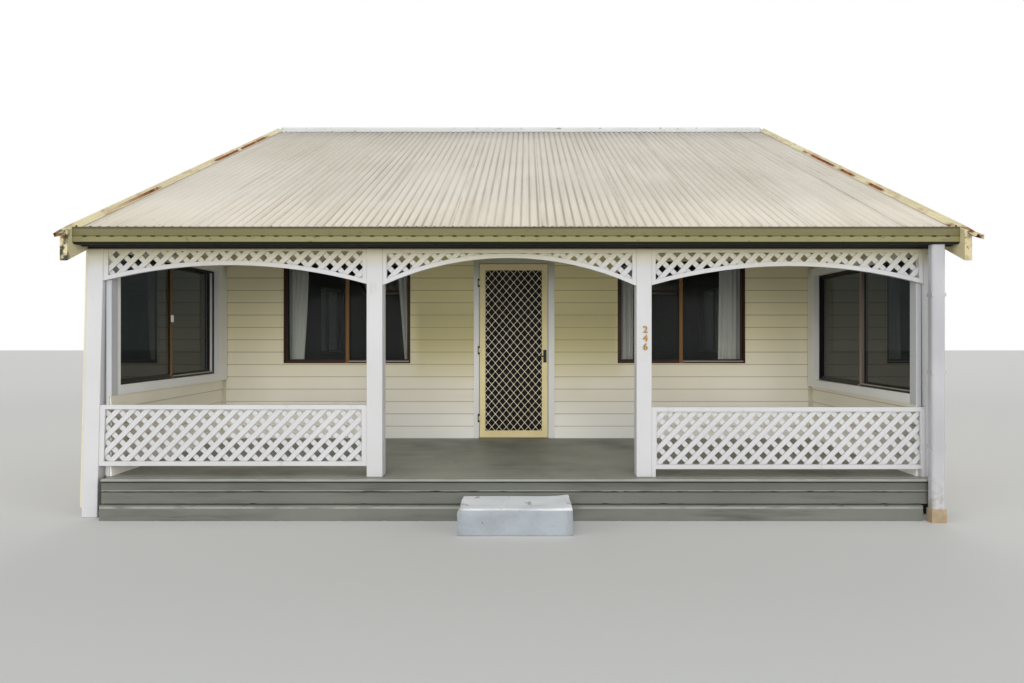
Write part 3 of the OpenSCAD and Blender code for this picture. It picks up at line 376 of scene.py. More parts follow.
wire(tree, shader, colour, sheen, both(tree, rust, patches(tree, 8, 0.3, 0.7), "ADD"), 0.5)
print("capping enamel:", len(tree.nodes), "nodes")

# %% [markdown]
# The gutter has faded to khaki. It is painted darker above its rib than below, and its lip carries
# a dark line: painted shade under the lip and under the ends of the sheets. Each slot has a dark
# mark round it, and its underside is painted black, a painted shade, and dull.

# %% Faded gutter
SLOT_PITCH = 0.1143
tree, shader = new_finish("gutter_paint", "faded khaki enamel on rolled steel")
shade = patches(tree, 900)
# The underside, painted black as painted shade.
under = where(tree, (2, 2.357, 2.350))
# Painted shade: the band above the rib is a darker copy of the khaki, and the lip has a dark line.
colour = coated(
    tree, "#746f4c", ("#6c6744", shade),
    (coated(tree, "#8b8760", ("#837f57", shade)), (2, 2.402, 2.396)),
    ("#4b482e", (2, 2.458, 2.465)), ("#645f3d", patches(tree, 25, 0.62, 0.74, (0.6, 1, 1), 5, 1.0)),
    ("#3a3620", (2, 2.391, 2.396, 2.404, 2.409),
     (crest_of(SLOT_PITCH, ROOF_SHIFT + SLOT_PITCH / 2), 0.35, 0.75)),
    ("#1c1a0f", under))
dull = add(tree, "MapRange", {0: under, 3: 0.45, 4: 0.95}).outputs[0]
wire(tree, shader, colour, dull, patches(tree, 60, 0.3, 0.7), 0.3)
print("gutter enamel:", len(tree.nodes), "nodes")

# %% [markdown]
# Most of the small finishes need only two tones in soft clouds and a fine grain. Powder coat and
# enamel are smooth and a little glossy, anodised metal is a half-metal sheen, bare concrete is
# rough and pitted, and brass gone dull is patched with brown.

# %% Finishes of two tones
def two_tone(slot, name, colour, worn, rough, values=None, cloud=(250,),
             grain=(3, 0.3, 0.7), depth_mm=0.05):
    tree, shader = new_finish(slot, name)
    for socket, value in (values or {}).items():
        shader.inputs[socket].default_value = value
    tone = coated(tree, colour, (worn, patches(tree, *cloud)))
    wire(tree, shader, tone, rough, patches(tree, *grain) if grain else None, depth_mm)


ANODISED = {"Metallic": 0.4}
two_tone("brown_frame", "bronze anodised aluminium", "#38241a", "#442d20", 0.35, ANODISED)
two_tone("wing_frame", "black anodised aluminium", "#15120f", "#1f1a16", 0.35, ANODISED)
two_tone("screen_frame", "cream powder coat on aluminium", "#f5e8b6", "#ecdca8", 0.45)
two_tone("grille_coat", "bright cream powder coat on steel bars", "#fff7e0", "#fbeecd", 0.4)
two_tone("black_metal", "black satin enamel on cast zinc", "#191918", "#232221", 0.35)
two_tone("rubber", "black glazing rubber", "#141414", "#1c1c1b", 0.7)
two_tone("mill_aluminium", "mill-finish aluminium", "#b9b8b4", "#a7a6a2", 0.35,
         {"Metallic": 0.9})
two_tone("rod_metal", "satin nickel plate on steel tube", "#a8a8a6", "#9b9b99", 0.3,
         {"Metallic": 1.0})
two_tone("brass", "weathered brass", "#cba345", "#94722e", 0.4, {"Metallic": 0.4},
         (12,), depth_mm=0.1)
two_tone("ridge_enamel", "chalked white enamel on rolled steel", "#ced1d1", "#c0c3c3", 0.45,
         None, (600,), (60, 0.3, 0.7), 0.3)
repaint("ridge_enamel", "#97938a", ragged(40, 0.62, 0.72, EVERY_WAY, 5))
two_tone("pipe_paint", "white enamel on folded steel", "#bdbdc1", "#b2b2b7", 0.35,
         None, (500,), (80, 0.3, 0.7), 0.3)
repaint("pipe_paint", "#9b958a", (2, 0.45, 0.1), ragged(60, 0.45, 0.65))
two_tone("concrete", "weathered cast concrete", "#b3a184", "#8f7d66", 0.9,
         None, (60, 0.35, 0.65, EVERY_WAY, 8), (10, 0.3, 0.7, (1, 1, 1), 6), 1.5)

# Painted highlights: the stiles where two sashes meet are painted lighter, where the anodised
# metal catches the light.
STILE_EDGE = (0.023, 0.021)
for middle in (-2.0245, 1.9505):
    repaint("brown_frame", "#7d5a31", (away_from(middle), *STILE_EDGE), (1, -2.3, -2.32))
repaint("wing_frame", "#7b5a33", (away_from(-3.5935, 1), *STILE_EDGE), (0, 3, 0))
repaint("wing_frame", "#92837b", (away_from(-3.6, 1), *STILE_EDGE), (0, 0, 3))
print("finishes so far:", len(FINISHES))

# %% [markdown]
# The step was painted long ago in blue-grey, worn through to concrete in spots and pitted. Its
# tread is painted near white and its front darker: painted light where the sky falls on the tread.
# Clear glass is an Alpha with a thin grey veil painted on it, which stands in for part of its
# reflection: glass that bends light in front of a dark room would only render as grain. The solar
# glass is nearly dark and does bend it. The insect mesh is too fine to show thread by thread, so
# its weave is drawn coarser. The curtains are thin cotton with a soft sheen.

# %% Step paint, glass, insect mesh and curtain cloth
MESH_PITCH = 0.006
tree, shader = new_finish("step_paint", "worn blue-grey paving paint on concrete")
cloud = patches(tree, 220)
# Painted light: the tread is a near-white copy of the step paint, lit by the sky.
tread = coated(tree, "#fafdff", ("#eff4f9", cloud))
pits = patches(tree, 12, 0.68, 0.73, EVERY_WAY, 4, 8.0)
colour = coated(tree, "#a9b0b6", ("#999fa5", cloud), (tread, (2, 0.196, 0.208)),
                ("#aeaaa1", patches(tree, 45, 0.64, 0.7, EVERY_WAY, 8, 5.0)), ("#5d5a54", pits))
hollows = both(tree, patches(tree, 30, 0.3, 0.7, (1, 1, 1), 8), pits, "SUBTRACT")
wire(tree, shader, colour, 0.6, hollows, 2.5)

# A grey veil painted on the clear glass, standing in for part of its reflection.
two_tone("glass", "clear float glass with a painted grey veil", "#404543", "#4a4f4d", 0.05,
         {"Alpha": 0.16}, (300, 0.3, 0.8, (1, 1, 0.4)), None)
two_tone("solar_glass", "grey solar float glass", "#262a29", "#222625", 0.0,
         {"Transmission Weight": 1.0, "IOR": 1.38}, (900, 0.3, 0.7), None)

tree, shader = new_finish("dark_mesh", "charcoal fibreglass insect mesh")
strands = []
for axis in (0, 2):
    turn = both(tree, reading(tree, axis), math.tau / MESH_PITCH)
    strands.append(add(tree, "Math", {0: turn}, operation="SINE").outputs[0])
weave = both(tree, *strands, "MAXIMUM")
wire(tree, shader, coated(tree, "#0e0f10", ("#1b1c1d", weave)), 0.7, weave, 0.2)
shader.inputs["Alpha"].default_value = 0.8

tree, shader = new_finish("curtain_cloth", "off-white cotton voile")
threads = patches(tree, 2, 0.35, 0.65, (1, 1, 0.2))
colour = coated(tree, "#fbfdf6", ("#f3f6ee", patches(tree, 200)), ("#e9ede3", threads))
wire(tree, shader, colour, 0.85, threads, 0.1)
shader.inputs["Sheen Weight"].default_value = 0.3

# %% Every solid gets the finish of its slot, or its own
SLOT_OF = {row["node"]: row["material_slot"] for row in frame["record"]["subparts"]}
OWN = {"door_frame": "brightened_white", "wing_casings": "brightened_white", "fascia_boards": "fascia",
       "wing_windows": "wing_frame", "barge_boards": "barge_timber"}
for wall in ("left_wall", "right_wall", "rear_wall", "front_wall_left", "front_wall_right",
             "front_wall_over_door"):
    OWN[wall] = "lined_walls"
for name, slot in SLOT_OF.items():
    solid = frame["nodes"][name]
    solid.data.materials.clear()
    solid.data.materials.append(FINISHES[OWN.get(name, slot)])
print("dressed", len(SLOT_OF), "solids in", len(set(SLOT_OF.values())), "finishes")

# %% [markdown]
# ## Light and floor
# A plain studio: a wide pale floor, an even sky and five soft suns. One stands high over the
# street, three low ones reach in under the verandah from the street side, and a weak one keeps
# the rear from going dark. Camera, glass and metal see a white backdrop, which adds no light to
# the walls.

# %% Studio
def to_mesh(name, bm):
    mesh = bpy.data.meshes.new(name)
    bm.to_mesh(mesh)
    bm.free()
    return mesh


wire(*new_finish("studio_floor", "pale studio floor"), linear("#d9d9d6"), 0.9)
bm = bmesh.new()
bmesh.ops.create_grid(bm, x_segments=2, y_segments=2, size=60)
studio_floor = link("studio_floor", to_mesh("studio_floor", bm))
studio_floor.data.materials.append(FINISHES["studio_floor"])

world = bpy.data.worlds.new("studio_sky")
world.use_nodes = True
scene.world = world
sky = world.node_tree
sky.nodes.clear()
seen_by = add(sky, "LightPath").outputs
seen = both(sky, seen_by["Is Camera Ray"], seen_by["Is Glossy Ray"], "MAXIMUM")
seen = both(sky, seen, seen_by["Is Transmission Ray"], "MAXIMUM")
soft = add(sky, "Background", {"Color": linear("#f2f5fa"), "Strength": 0.42})
white = add(sky, "Background", {"Color": (1, 1, 1, 1), "Strength": 1.0})
blend = add(sky, "MixShader", {0: seen, 1: soft.outputs[0], 2: white.outputs[0]})
add(sky, "OutputWorld", {0: blend.outputs[0]})

# Each sun: its strength and spread, its angle from straight down, and its way round the house.
SUNS = {"key_from_above": (0.55, 35, 34, -14), "low_fill": (1.3, 36, 80, 0),
        "low_fill_left": (1.0, 36, 80, -60), "low_fill_right": (1.0, 36, 80, 60),
        "rear_fill": (0.6, 50, 55, 170)}
for name, (strength, spread, tilt, turn) in SUNS.items():
    light = bpy.data.lights.new(name, "SUN")
    light.energy = strength
    light.angle = math.radians(spread)
    light.color = (1.0, 0.985, 0.96)
    sun = link(name, light)
    sun.rotation_euler = (math.radians(tilt), 0, math.radians(turn))
    sun.visible_glossy = False
print("studio lights:", len(SUNS))

# %% [markdown]
# ## Helpers for pieces
# Every piece starts as a box, a grid or a few points and is shaped by mesh operators. A board is
# a box with softened edges. A run is an outline that is pushed along a line, as a moulding comes
# out of its machine. A ring is the four strips of a frame.

# %% Piece helpers
def face_out(bm):
    bmesh.ops.recalc_face_normals(bm, faces=bm.faces)


def smooth_all(bm):
    for face in bm.faces:
        face.smooth = True


def keep(name, bm, slot, body=HOUSE, instead_of=(), finish=None, smooth=False):
    """Turn a bmesh into a piece that rides on its body; it may have a finish of its own. Steel
    sheets and cloth are smooth, and their faces are not turned here."""
    smooth_all(bm) if smooth else face_out(bm)
    made = link(name, to_mesh(name, bm))
    made.data.materials.append(FINISHES[finish or slot])
    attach(made, body)
    if instead_of:
        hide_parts(*instead_of)
    print(name, len(made.data.polygons), "faces")
    return made


def only(kind, geom):
    return [g for g in geom if isinstance(g, kind)]


def soften(bm, edges, offset, segments):
    return bmesh.ops.bevel(bm, geom=edges, offset=offset, affect="EDGES", segments=segments,
                           profile=0.5, material=-1, clamp_overlap=True)["verts"]


def board(bm, low, high, edge=0.003, segments=1):
    low, high = Vector(low), Vector(high)
    place = Matrix.Translation((low + high) / 2) @ Matrix.Diagonal((*(high - low), 1))
    verts = bmesh.ops.create_cube(bm, size=1, matrix=place)["verts"]
    if edge:
        edges = list({e for v in verts for e in v.link_edges})
        verts = soften(bm, edges, edge, segments)
    return verts


def run(bm, outline, along):
    face = bm.faces.new([bm.verts.new(p) for p in outline])
    pushed = bmesh.ops.extrude_face_region(bm, geom=[face])["geom"]
    bmesh.ops.translate(bm, verts=only(bmesh.types.BMVert, pushed), vec=along)


def ring(left, foot, right, head, wide, butt=0.0):
    """The strips of a frame: two stiles, then foot and head, short of the stiles by the butt."""
    inner_left, inner_right = left + butt, right - butt
    return [((left, foot), (left + wide, head)), ((right - wide, foot), (right, head)),
            ((inner_left, foot), (inner_right, foot + wide)),
            ((inner_left, head - wide), (inner_right, head))]


def rod(bm, at, radius, depth, segments=20, turn=Matrix.Rotation(math.radians(90), 4, "X")):
    bmesh.ops.create_cone(bm, cap_ends=True, segments=segments, radius1=radius, radius2=radius,
                          depth=depth, matrix=Matrix.Translation(at) @ turn)


def lay_grid(bm, across, along, place):
    """A flat grid whose point (i, j) goes to its place."""
    for v in bmesh.ops.create_grid(bm, x_segments=across, y_segments=along, size=1)["verts"]:
        v.co = place(round((v.co.x + 1) / 2 * across), round((v.co.y + 1) / 2 * along))


def half_turn(bm, verts):
    """Take a shape round to the other side of the house."""
    bmesh.ops.rotate(bm, verts=verts, matrix=Matrix.Rotation(math.pi, 3, "Z"))


def roof_z(y, off=0.0):
    return RIDGE_Z - math.tan(PITCH) * abs(y) + off / math.cos(PITCH)


# %% [markdown]
# ## Weatherboards
# Cladding is laid from the bottom up, and each board laps over the one below, so every board
# leans out a little and throws a thin shadow. The boards stop at a thin channel round each window
# and door. One wall is drawn flat, as its outline with its holes, then stood up in its place.

# %% Weatherboards
BUTT, TIP, LAP = 0.0165, 0.003, 0.018
CHANNEL_W, CHANNEL_OUT = 0.02, 0.019
NEARLY, THINNEST = 0.0001, 0.004


def spans(from_x, to_x, low, high, holes):
    """The stretches of one row, each with the heights that the holes leave of it."""
    cuts = sorted({from_x, to_x} | {x for h in holes for x in (h[0], h[2]) if from_x < x < to_x})
    found = []
    for a, b in zip(cuts, cuts[1:]):
        foot, top = low, high
        for left, bottom, right, head in holes:
            if left < b - NEARLY and right > a + NEARLY and bottom < top and head > foot:
                foot, top = (foot, bottom) if bottom > foot else (head, top)
        if top - foot < THINNEST:
            continue
        if found and found[-1][1] == a and found[-1][2:] == (foot, top):
            a = found.pop()[0]
        found.append((a, b, foot, top))
    return found


def cut_to_slope(bm, off):
    """Saw a gable along both slopes of the roof."""
    for side in (-1, 1):
        normal = Vector((0, side * math.sin(PITCH), math.cos(PITCH)))
        cut = bmesh.ops.bisect_plane(bm, geom=bm.verts[:] + bm.edges[:] + bm.faces[:],
                                     plane_co=(0, 0, roof_z(0, off)), plane_no=normal,
                                     clear_outer=True)["geom_cut"]
        bmesh.ops.edgeloop_fill(bm, edges=only(bmesh.types.BMEdge, cut))


def clad(name, angle, at, ends, high, holes, seed, strips=(), channels=True, slope=None):
    """Rows of boards from the floor up; the angle is the way that the wall looks out."""
    chance = random.Random(seed)
    bm = bmesh.new()
    for row in range(math.ceil((high - FLOOR_Z) / COVER)):
        foot = FLOOR_Z + row * COVER
        top = min(foot + COVER + LAP, high)
        slip = chance.uniform(-0.0008, 0.0008)
        for left, right, low_z, high_z in spans(*ends, foot, top, holes):
            near, far = [BUTT + (TIP + slip - BUTT) * (z - foot) / (top - foot)
                         for z in (low_z, high_z)]
            run(bm, [(left, 0, low_z), (left, -near, low_z), (left, -far, high_z),
                     (left, 0, high_z)], (right - left, 0, 0))
    for left, bottom, right, top in holes if channels else ():
        strips += tuple(ring(left - CHANNEL_W, bottom - CHANNEL_W, right + CHANNEL_W,
                             top + CHANNEL_W, CHANNEL_W, CHANNEL_W))
    for (x0, z0), (x1, z1) in strips:
        if z0 >= FLOOR_Z - 0.001 and z1 <= high + 0.001:
            board(bm, (x0, -CHANNEL_OUT, z0), (x1, 0, z1), 0.002)
    turn = Matrix.Rotation(math.radians(angle), 4, "Z")
    bmesh.ops.transform(bm, matrix=Matrix.Translation((*at, 0)) @ turn, verts=bm.verts)
    if slope is not None:
        cut_to_slope(bm, slope)
    keep(name, bm, "cream_cladding")


WINDOW_Z, FRONT_AT = (1.24, 2.45), ((-2.778, -1.271), (1.192, 2.709))
DOOR_X, DOOR_HEAD, CHANNEL_TOP = (-0.5175, 0.4415), 2.5005, 2.52
front_holes = [(left, WINDOW_Z[0], right, WINDOW_Z[1]) for left, right in FRONT_AT]
front_holes.append((DOOR_X[0], FLOOR_Z - 0.1, DOOR_X[1], DOOR_HEAD))
round_door = (((DOOR_X[0] - CHANNEL_W, FLOOR_Z), (DOOR_X[0], CHANNEL_TOP)),
              ((DOOR_X[1], FLOOR_Z), (DOOR_X[1] + CHANNEL_W, CHANNEL_TOP)),
              ((DOOR_X[0], DOOR_HEAD), (DOOR_X[1], CHANNEL_TOP)))
clad("front_weatherboards", 0, (0, FRONT_WALL), (-INNER_X + 0.048, INNER_X - 0.048), 3.42,
     front_holes, 1, round_door)

# %% [markdown]
# The side walls rise into gables: their rows run past the slope and are then cut along it, as a
# saw would. The wing walls inside the verandah are clad too, round their wide casings.

# %% Side, wing and rear weatherboards
WINDOW_HALF, SIDE_AT, REAR_AT, REAR_Z = 0.755, (-0.95, 2.25), (-1.95, 1.95), (1.15, 2.15)
WING = {1: (2.64, 4.56, 0.707, 1.204), -1: (2.667, 4.52, 0.783, 1.173)}
CASING_W, WING_END, CORNER = 0.085, 4.64, 0.09


def mirrored(ends):
    return (-ends[1], -ends[0])


for side, side_name in ((1, "right"), (-1, "left")):
    near, far, sill, tall = WING[side]
    wide = [(-far, -near, FLOOR_Z + sill, FLOOR_Z + sill + tall)]
    wide += [(y - WINDOW_HALF, y + WINDOW_HALF, *WINDOW_Z) for y in SIDE_AT]
    ends, wing_ends = (-4.59, REAR_WALL - CORNER), mirrored((-WING_END, FRONT_WALL - 0.024))
    if side < 0:
        wide = [(*mirrored(h[:2]), *h[2:]) for h in wide]
        ends, wing_ends = mirrored(ends), mirrored(wing_ends)
    holes = [(left, foot, right, head) for left, right, foot, head in wide]
    clad(side_name + "_side_weatherboards", 90 * side, (side * OUTER_X, 0), ends, 4.75, holes,
         5 + side, slope=-0.048)
    casing = (wing_ends[0], FLOOR_Z + sill - CASING_W, wing_ends[1], FLOOR_Z + sill + tall + CASING_W)
    clad(side_name + "_wing_weatherboards", -90 * side, (side * INNER_X, 0), wing_ends, 3.5,
         [casing], 9 + side, channels=False, slope=-0.146)

rear_holes = [(x - WINDOW_HALF, REAR_Z[0], x + WINDOW_HALF, REAR_Z[1]) for x in REAR_AT]
rear_holes.append((-0.45, FLOOR_Z - 0.1, 0.45, 2.35))
clad("rear_weatherboards", 180, (0, REAR_WALL), (-OUTER_X + CORNER, OUTER_X - CORNER), 2.41,
     rear_holes, 20)

# %% [markdown]
# ## Corrugated sheets
# A sheet of corrugated steel covers 762 mm, which is ten waves, and laps the next one by a wave
# and a half. Each sheet here is one sine curve of points, drawn out down the slope and given the
# thickness of the steel. A sheet that laps another rides a little higher at that edge.

# %% Corrugated sheets
WAVE_HALF, STEPS_PER_WAVE, ROOF_HALF = 0.0085, 12, 48.5 * WAVE
SHEET_T, SIDE_LAP, RISE = 0.001, 1.5 * WAVE, 0.0022
SLOPE_L, SLOPE_ROWS = 4.83 / math.cos(PITCH) - 0.015, 5
END_CREEP = 0.004


def on_slope(rear=False):
    tilt = Matrix.Translation((0, 0, RIDGE_Z)) @ Matrix.Rotation(PITCH, 4, "X")
    turned = Matrix.Rotation(math.pi if rear else 0, 4, "Z") @ tilt
    return Matrix.Translation((ROOF_SHIFT, 0, 0)) @ turned


def turn_up(bm):
    """Turn a sheet's faces up, so that its thickness goes down."""
    face_out(bm)
    if sum(f.normal.z for f in bm.faces) < 0:
        bmesh.ops.reverse_faces(bm, faces=bm.faces)


def corrugated(bm, start, end, rear, chance):
    count = max(round((end - start) / WAVE * STEPS_PER_WAVE), 4)
    line = []
    for i in range(count + 1):
        x = start + (end - start) * i / count
        lap = max(0.0, 1 - (x - start) / SIDE_LAP) if start > -ROOF_HALF + 0.01 else 0.0
        height = 0.001 + WAVE_HALF * math.cos(math.tau * x / WAVE) + RISE * lap
        line.append(bm.verts.new((x, -0.015, height)))
    edges = [bm.edges.new(pair) for pair in zip(line, line[1:])]
    creep = chance.uniform(-END_CREEP, END_CREEP)
    for row in range(SLOPE_ROWS):
        pushed = bmesh.ops.extrude_edge_only(bm, edges=edges)["geom"]
        step = -SLOPE_L / SLOPE_ROWS - (creep if row == SLOPE_ROWS - 1 else 0)
        sag = 0.0008 * noise.noise(Vector((start, row * 1.7, float(rear))))
        bmesh.ops.translate(bm, verts=only(bmesh.types.BMVert, pushed), vec=(0, step, sag))
        edges = [e for e in only(bmesh.types.BMEdge, pushed)
                 if abs(e.verts[0].co.y - e.verts[1].co.y) < 1e-6]


for rear, end_name in ((False, "front"), (True, "rear")):
    bm = bmesh.new()
    chance = random.Random(31 + rear)
    for i in range(-5, 6):
        start = FIRST_LAP - ROOF_SHIFT + i * SHEET_COVER
        left, right = max(start, -ROOF_HALF), min(start + SHEET_COVER + SIDE_LAP, ROOF_HALF)
        if right - left > 0.1:
            corrugated(bm, left, right, rear, chance)
    turn_up(bm)
    bmesh.ops.solidify(bm, geom=bm.faces[:], thickness=SHEET_T)
    bmesh.ops.transform(bm, matrix=on_slope(rear), verts=bm.verts)
    keep("corrugated_sheets_" + end_name, bm, "roof_sheet", HOUSE, ["roof_" + end_name],
         smooth=True)

# %% [markdown]
# ## Roof screws
# Hex-headed screws with a rubber washer hold every second wave at the lowest purlin and every
# third one further up. Each is a small dome on a washer.

# %% Roof screws
def dome(bm, radius, height, rise, turn=Matrix.Identity(4)):
    place = Matrix.Translation((0, 0, rise)) @ Matrix.Diagonal((radius, radius, height, 1))
    bmesh.ops.create_uvsphere(bm, u_segments=8, v_segments=4, radius=1, matrix=turn @ place)


def stamp(bm, small, places):
    """Copies of one small shape, each at its own place."""
    pattern = to_mesh("pattern", small)
    for place in places:
        copy = pattern.copy()
        copy.transform(place)
        bm.from_mesh(copy)
        bpy.data.meshes.remove(copy)


PURLINS = 7
PURLIN_STEP = (4.75 / math.cos(PITCH) - 0.15) / (PURLINS - 1)
screw = bmesh.new()
dome(screw, 0.0085, 0.003, 0)
dome(screw, 0.005, 0.0045, 0.0025)
chance = random.Random(8)
places = []
for rear in (False, True):
    for purlin in range(PURLINS):
        for i in range(-47 + purlin % 2, 48, 2 if purlin == PURLINS - 1 else 3):
            down = 0.075 + purlin * PURLIN_STEP
            at = (i * WAVE, -down + chance.uniform(-0.006, 0.006), WAVE_HALF + 0.0015)
            places.append(on_slope(rear) @ Matrix.Translation(at))
bm = bmesh.new()
stamp(bm, screw, places)
keep("roof_screws", bm, "roof_sheet")

# %% [markdown]
# ## Ridge capping
# A rolled capping closes the ridge. Its two edges are cut to the waves, so that they dip into
# each hollow. It starts as a flat grid: one direction becomes the bend over the ridge, and the
# other gets the scallops.

# %% Ridge capping
CAP_HALF, CAP_REACH, CAP_STEPS = 0.15, 3.69, 576
ROLL_R, CREST = 0.017, 0.0105


def ridge_path():
    """Points across the capping: distance from the ridge, height, and how far they dip."""
    slope = [(-CAP_HALF, 0.0, 1.0), (-CAP_HALF + 0.004, 0.004, 0.0), (-0.08, 0.004, 0.0),
             (-0.026, 0.004, 0.0)]
    up = [(y, roof_z(y, CREST + off), dip) for y, off, dip in slope]
    top = roof_z(0, CREST) + 0.012
    turns = [math.radians(200 - 27.5 * k) for k in range(9)]
    arc = [(ROLL_R * math.cos(a), top + ROLL_R * math.sin(a), 0.0) for a in turns]
    return up + arc + [(-y, z, dip) for y, z, dip in reversed(up)]


RIDGE = ridge_path()


def on_ridge(i, j):
    x = (2 * i / CAP_STEPS - 1) * CAP_REACH
    y, z, dip = RIDGE[j]
    hollow = (1 - math.cos(math.tau * x / WAVE)) / 2
    return x, y, z + 0.003 - dip * (0.003 + 0.013 * hollow) + 0.0015 * noise.noise((x * 2, y, 0))


def shift_roof(bm):
    """The roof covering lies a little to the right of the walls."""
    bmesh.ops.translate(bm, verts=bm.verts, vec=(ROOF_SHIFT, 0, 0))


def thicken(bm):
    """A rolled sheet gets the thickness of the steel, and its place on the roof."""
    smooth_all(bm)
    bmesh.ops.solidify(bm, geom=bm.faces[:], thickness=SHEET_T)
    shift_roof(bm)


bm = bmesh.new()
lay_grid(bm, CAP_STEPS, len(RIDGE) - 1, on_ridge)
thicken(bm)
keep("rolled_ridge_capping", bm, "roof_sheet", HOUSE, ["ridge_cap"], "ridge_enamel", True)

# %% [markdown]
# ## Barge cappings
# The gable edges are capped by folded steel with two rolls and a lip. Thirty years of rain have
# rusted the feet and torn them: the last hand's breadth is bent with a little noise.

# %% Barge cappings
CAP_POINTS = [(3.641, -0.002), (3.644, 0.003), (3.66, 0.003), (3.668, 0.004), (3.672, 0.014),
              (3.68, 0.019), (3.688, 0.014), (3.692, 0.004), (3.715, 0.003), (3.733, 0.003),
              (3.737, 0.013), (3.745, 0.018), (3.755, 0.013), (3.7605, 0.004), (3.762, -0.012),
              (3.762, -0.042), (3.7585, -0.046)]
CAP_END, CAP_ROWS = 5.035, 60
EAVES_END, FLAP_X, TEAR_SEED = 4.87, 3.7, 7

# The noise vector would start elsewhere in every run, so it gets a seed.
noise.seed_set(TEAR_SEED)


def torn(point, off, rear, side):
    """How far a point near the foot of a capping is bent; the lip curls up on the left and
    hangs out as a flap on the right."""
    ragged_share = min(max(0.0, (point.y - 4.9) / 0.13), 1.0) ** 1.5
    shake = noise.noise_vector(Vector((point.x * 30, point.y * 14, 3.0 * rear + side)))
    bend = Vector((0, shake.y * 0.012, shake.z * 0.02 - 0.006))
    if not rear and side < 0:
        bend += Vector((-0.012, 0, -0.6 * off)) if off < 0 else Vector((0, 0, -0.008))
    if not rear and side > 0:
        bend += Vector((0.036, 0.01, 0.004)) if off < 0 else Vector((0.012, 0, -0.018))
    return bend * ragged_share


for side, side_name in ((-1, "left"), (1, "right")):
    bm = bmesh.new()
    for rear in (0, 1):
        bmesh.ops.create_grid(bm, x_segments=len(CAP_POINTS) - 1, y_segments=CAP_ROWS, size=1,
                              matrix=Matrix.Translation((0, 0, rear)))
    doomed = []
    for v in bm.verts:
        rear = v.co.z > 0.5
        x, off = CAP_POINTS[round((v.co.x + 1) / 2 * (len(CAP_POINTS) - 1))]
        # The rows draw closer together towards the foot.
        y = CAP_END * (1 - (1 - (v.co.y + 1) / 2) ** 1.25)
        if x < FLAP_X and y > EAVES_END:
            doomed.append(v)
        point = Vector((x, y, roof_z(y, CREST + off)))
        point += torn(point, off, rear, side)
        v.co = (side * point.x, point.y if rear else -point.y, point.z)
    bmesh.ops.delete(bm, geom=doomed, context="VERTS")
    turn_up(bm)
    thicken(bm)
    keep("barge_capping_" + side_name, bm, "barge_paint", HOUSE,
         ["barge_caps"] if side > 0 else [], smooth=True)

# %% [markdown]
# ## Slotted gutter
# The gutter is rolled from one strip: a folded back, a flat floor, a bevel, and a front with one
# rib and a rounded lip. Overflow slots are punched along the rib. The grid has a column for each
# slot end, so a slot is simply a face that is taken out before the steel gets its thickness.

# %% Slotted gutter
GUTTER_POINTS = [(-4.7705, 2.4424), (-4.7705, 2.3390), (-4.775, 2.3376), (-4.870, 2.3376),
                 (-4.8868, 2.3535), (-4.8868, 2.3940), (-4.8822, 2.3965), (-4.8822, 2.4030),
                 (-4.8868, 2.4055), (-4.8868, 2.4660), (-4.8868, 2.4745), (-4.8830, 2.4800),
                 (-4.8775, 2.4800), (-4.8755, 2.4750)]
SLOT_L, SLOT_COUNT, RIB_LOW, RIB_HIGH = 0.034, 64, 2.3965, 2.4030
GUTTER_HALF, STOP_END_T = 3.7, 0.0015
stations = [-GUTTER_HALF, GUTTER_HALF]
for i in range(SLOT_COUNT):
    middle = (i - (SLOT_COUNT - 1) / 2) * SLOT_PITCH
    stations[-1:-1] = [middle - SLOT_L / 2, middle + SLOT_L / 2]
for rear, end_name in ((0, "front"), (1, "rear")):
    bm = bmesh.new()
    lay_grid(bm, len(stations) - 1, len(GUTTER_POINTS) - 1,
             lambda i, j: (stations[i], *GUTTER_POINTS[j]))
    slots = []
    for face in bm.faces:
        across = [v.co.x for v in face.verts]
        is_slot_wide = abs(max(across) - min(across) - SLOT_L) < 0.001
        if is_slot_wide and RIB_LOW < face.calc_center_median().z < RIB_HIGH:
            slots.append(face)
    bmesh.ops.delete(bm, geom=slots, context="FACES")
    bmesh.ops.solidify(bm, geom=bm.faces[:], thickness=0.0012)
    for x in (-GUTTER_HALF, GUTTER_HALF - STOP_END_T):
        run(bm, [(x, *point) for point in GUTTER_POINTS[:5] + GUTTER_POINTS[9:12]],
            (STOP_END_T, 0, 0))
    if rear:
        half_turn(bm, bm.verts)
    shift_roof(bm)
    keep("slotted_gutter_" + end_name, bm, "gutter_paint", HOUSE, [] if rear else ["gutters"])

# %% [markdown]
# ## Verandah boards and skirting
# The deck is narrow boards that run the length of the house, with butt joints and a rounded
# nosing. The skirting boards under it are older: their upper edges are chipped.

# %% Verandah boards
DECK_T, DECK_W, GAP, DECK_FRONT, END_ROOM = 0.022, 0.0945, 0.0025, -4.70, 0.8
SLAB_Z = FLOOR_Z - DECK_T
bm = bmesh.new()
chance = random.Random(3)
y = DECK_FRONT
while y < FRONT_WALL - 0.02:
    wide = min(DECK_W, FRONT_WALL - y)
    reach = INNER_X - END_ROOM
    joints = sorted(chance.uniform(-reach, reach) for _ in range(2))
    if joints[1] - joints[0] < 0.9:
        joints.pop()
    ends = [-INNER_X, *joints, INNER_X]
    for a, b in zip(ends, ends[1:]):
        board(bm, (a + 0.0006, y + GAP / 2, SLAB_Z),
              (b - 0.0006, y + wide - GAP / 2, FLOOR_Z + chance.uniform(-0.0012, 0)), 0.002)
    y += DECK_W
board(bm, (-INNER_X, -4.7795, SLAB_Z), (OUTER_X, -4.7015, FLOOR_Z), 0.009, 3)
for left, front in ((-OUTER_X, -4.59), (INNER_X, DECK_FRONT)):
    board(bm, (left + 0.001, front, SLAB_Z), (left + 0.144, FRONT_WALL, FLOOR_Z), 0.002)
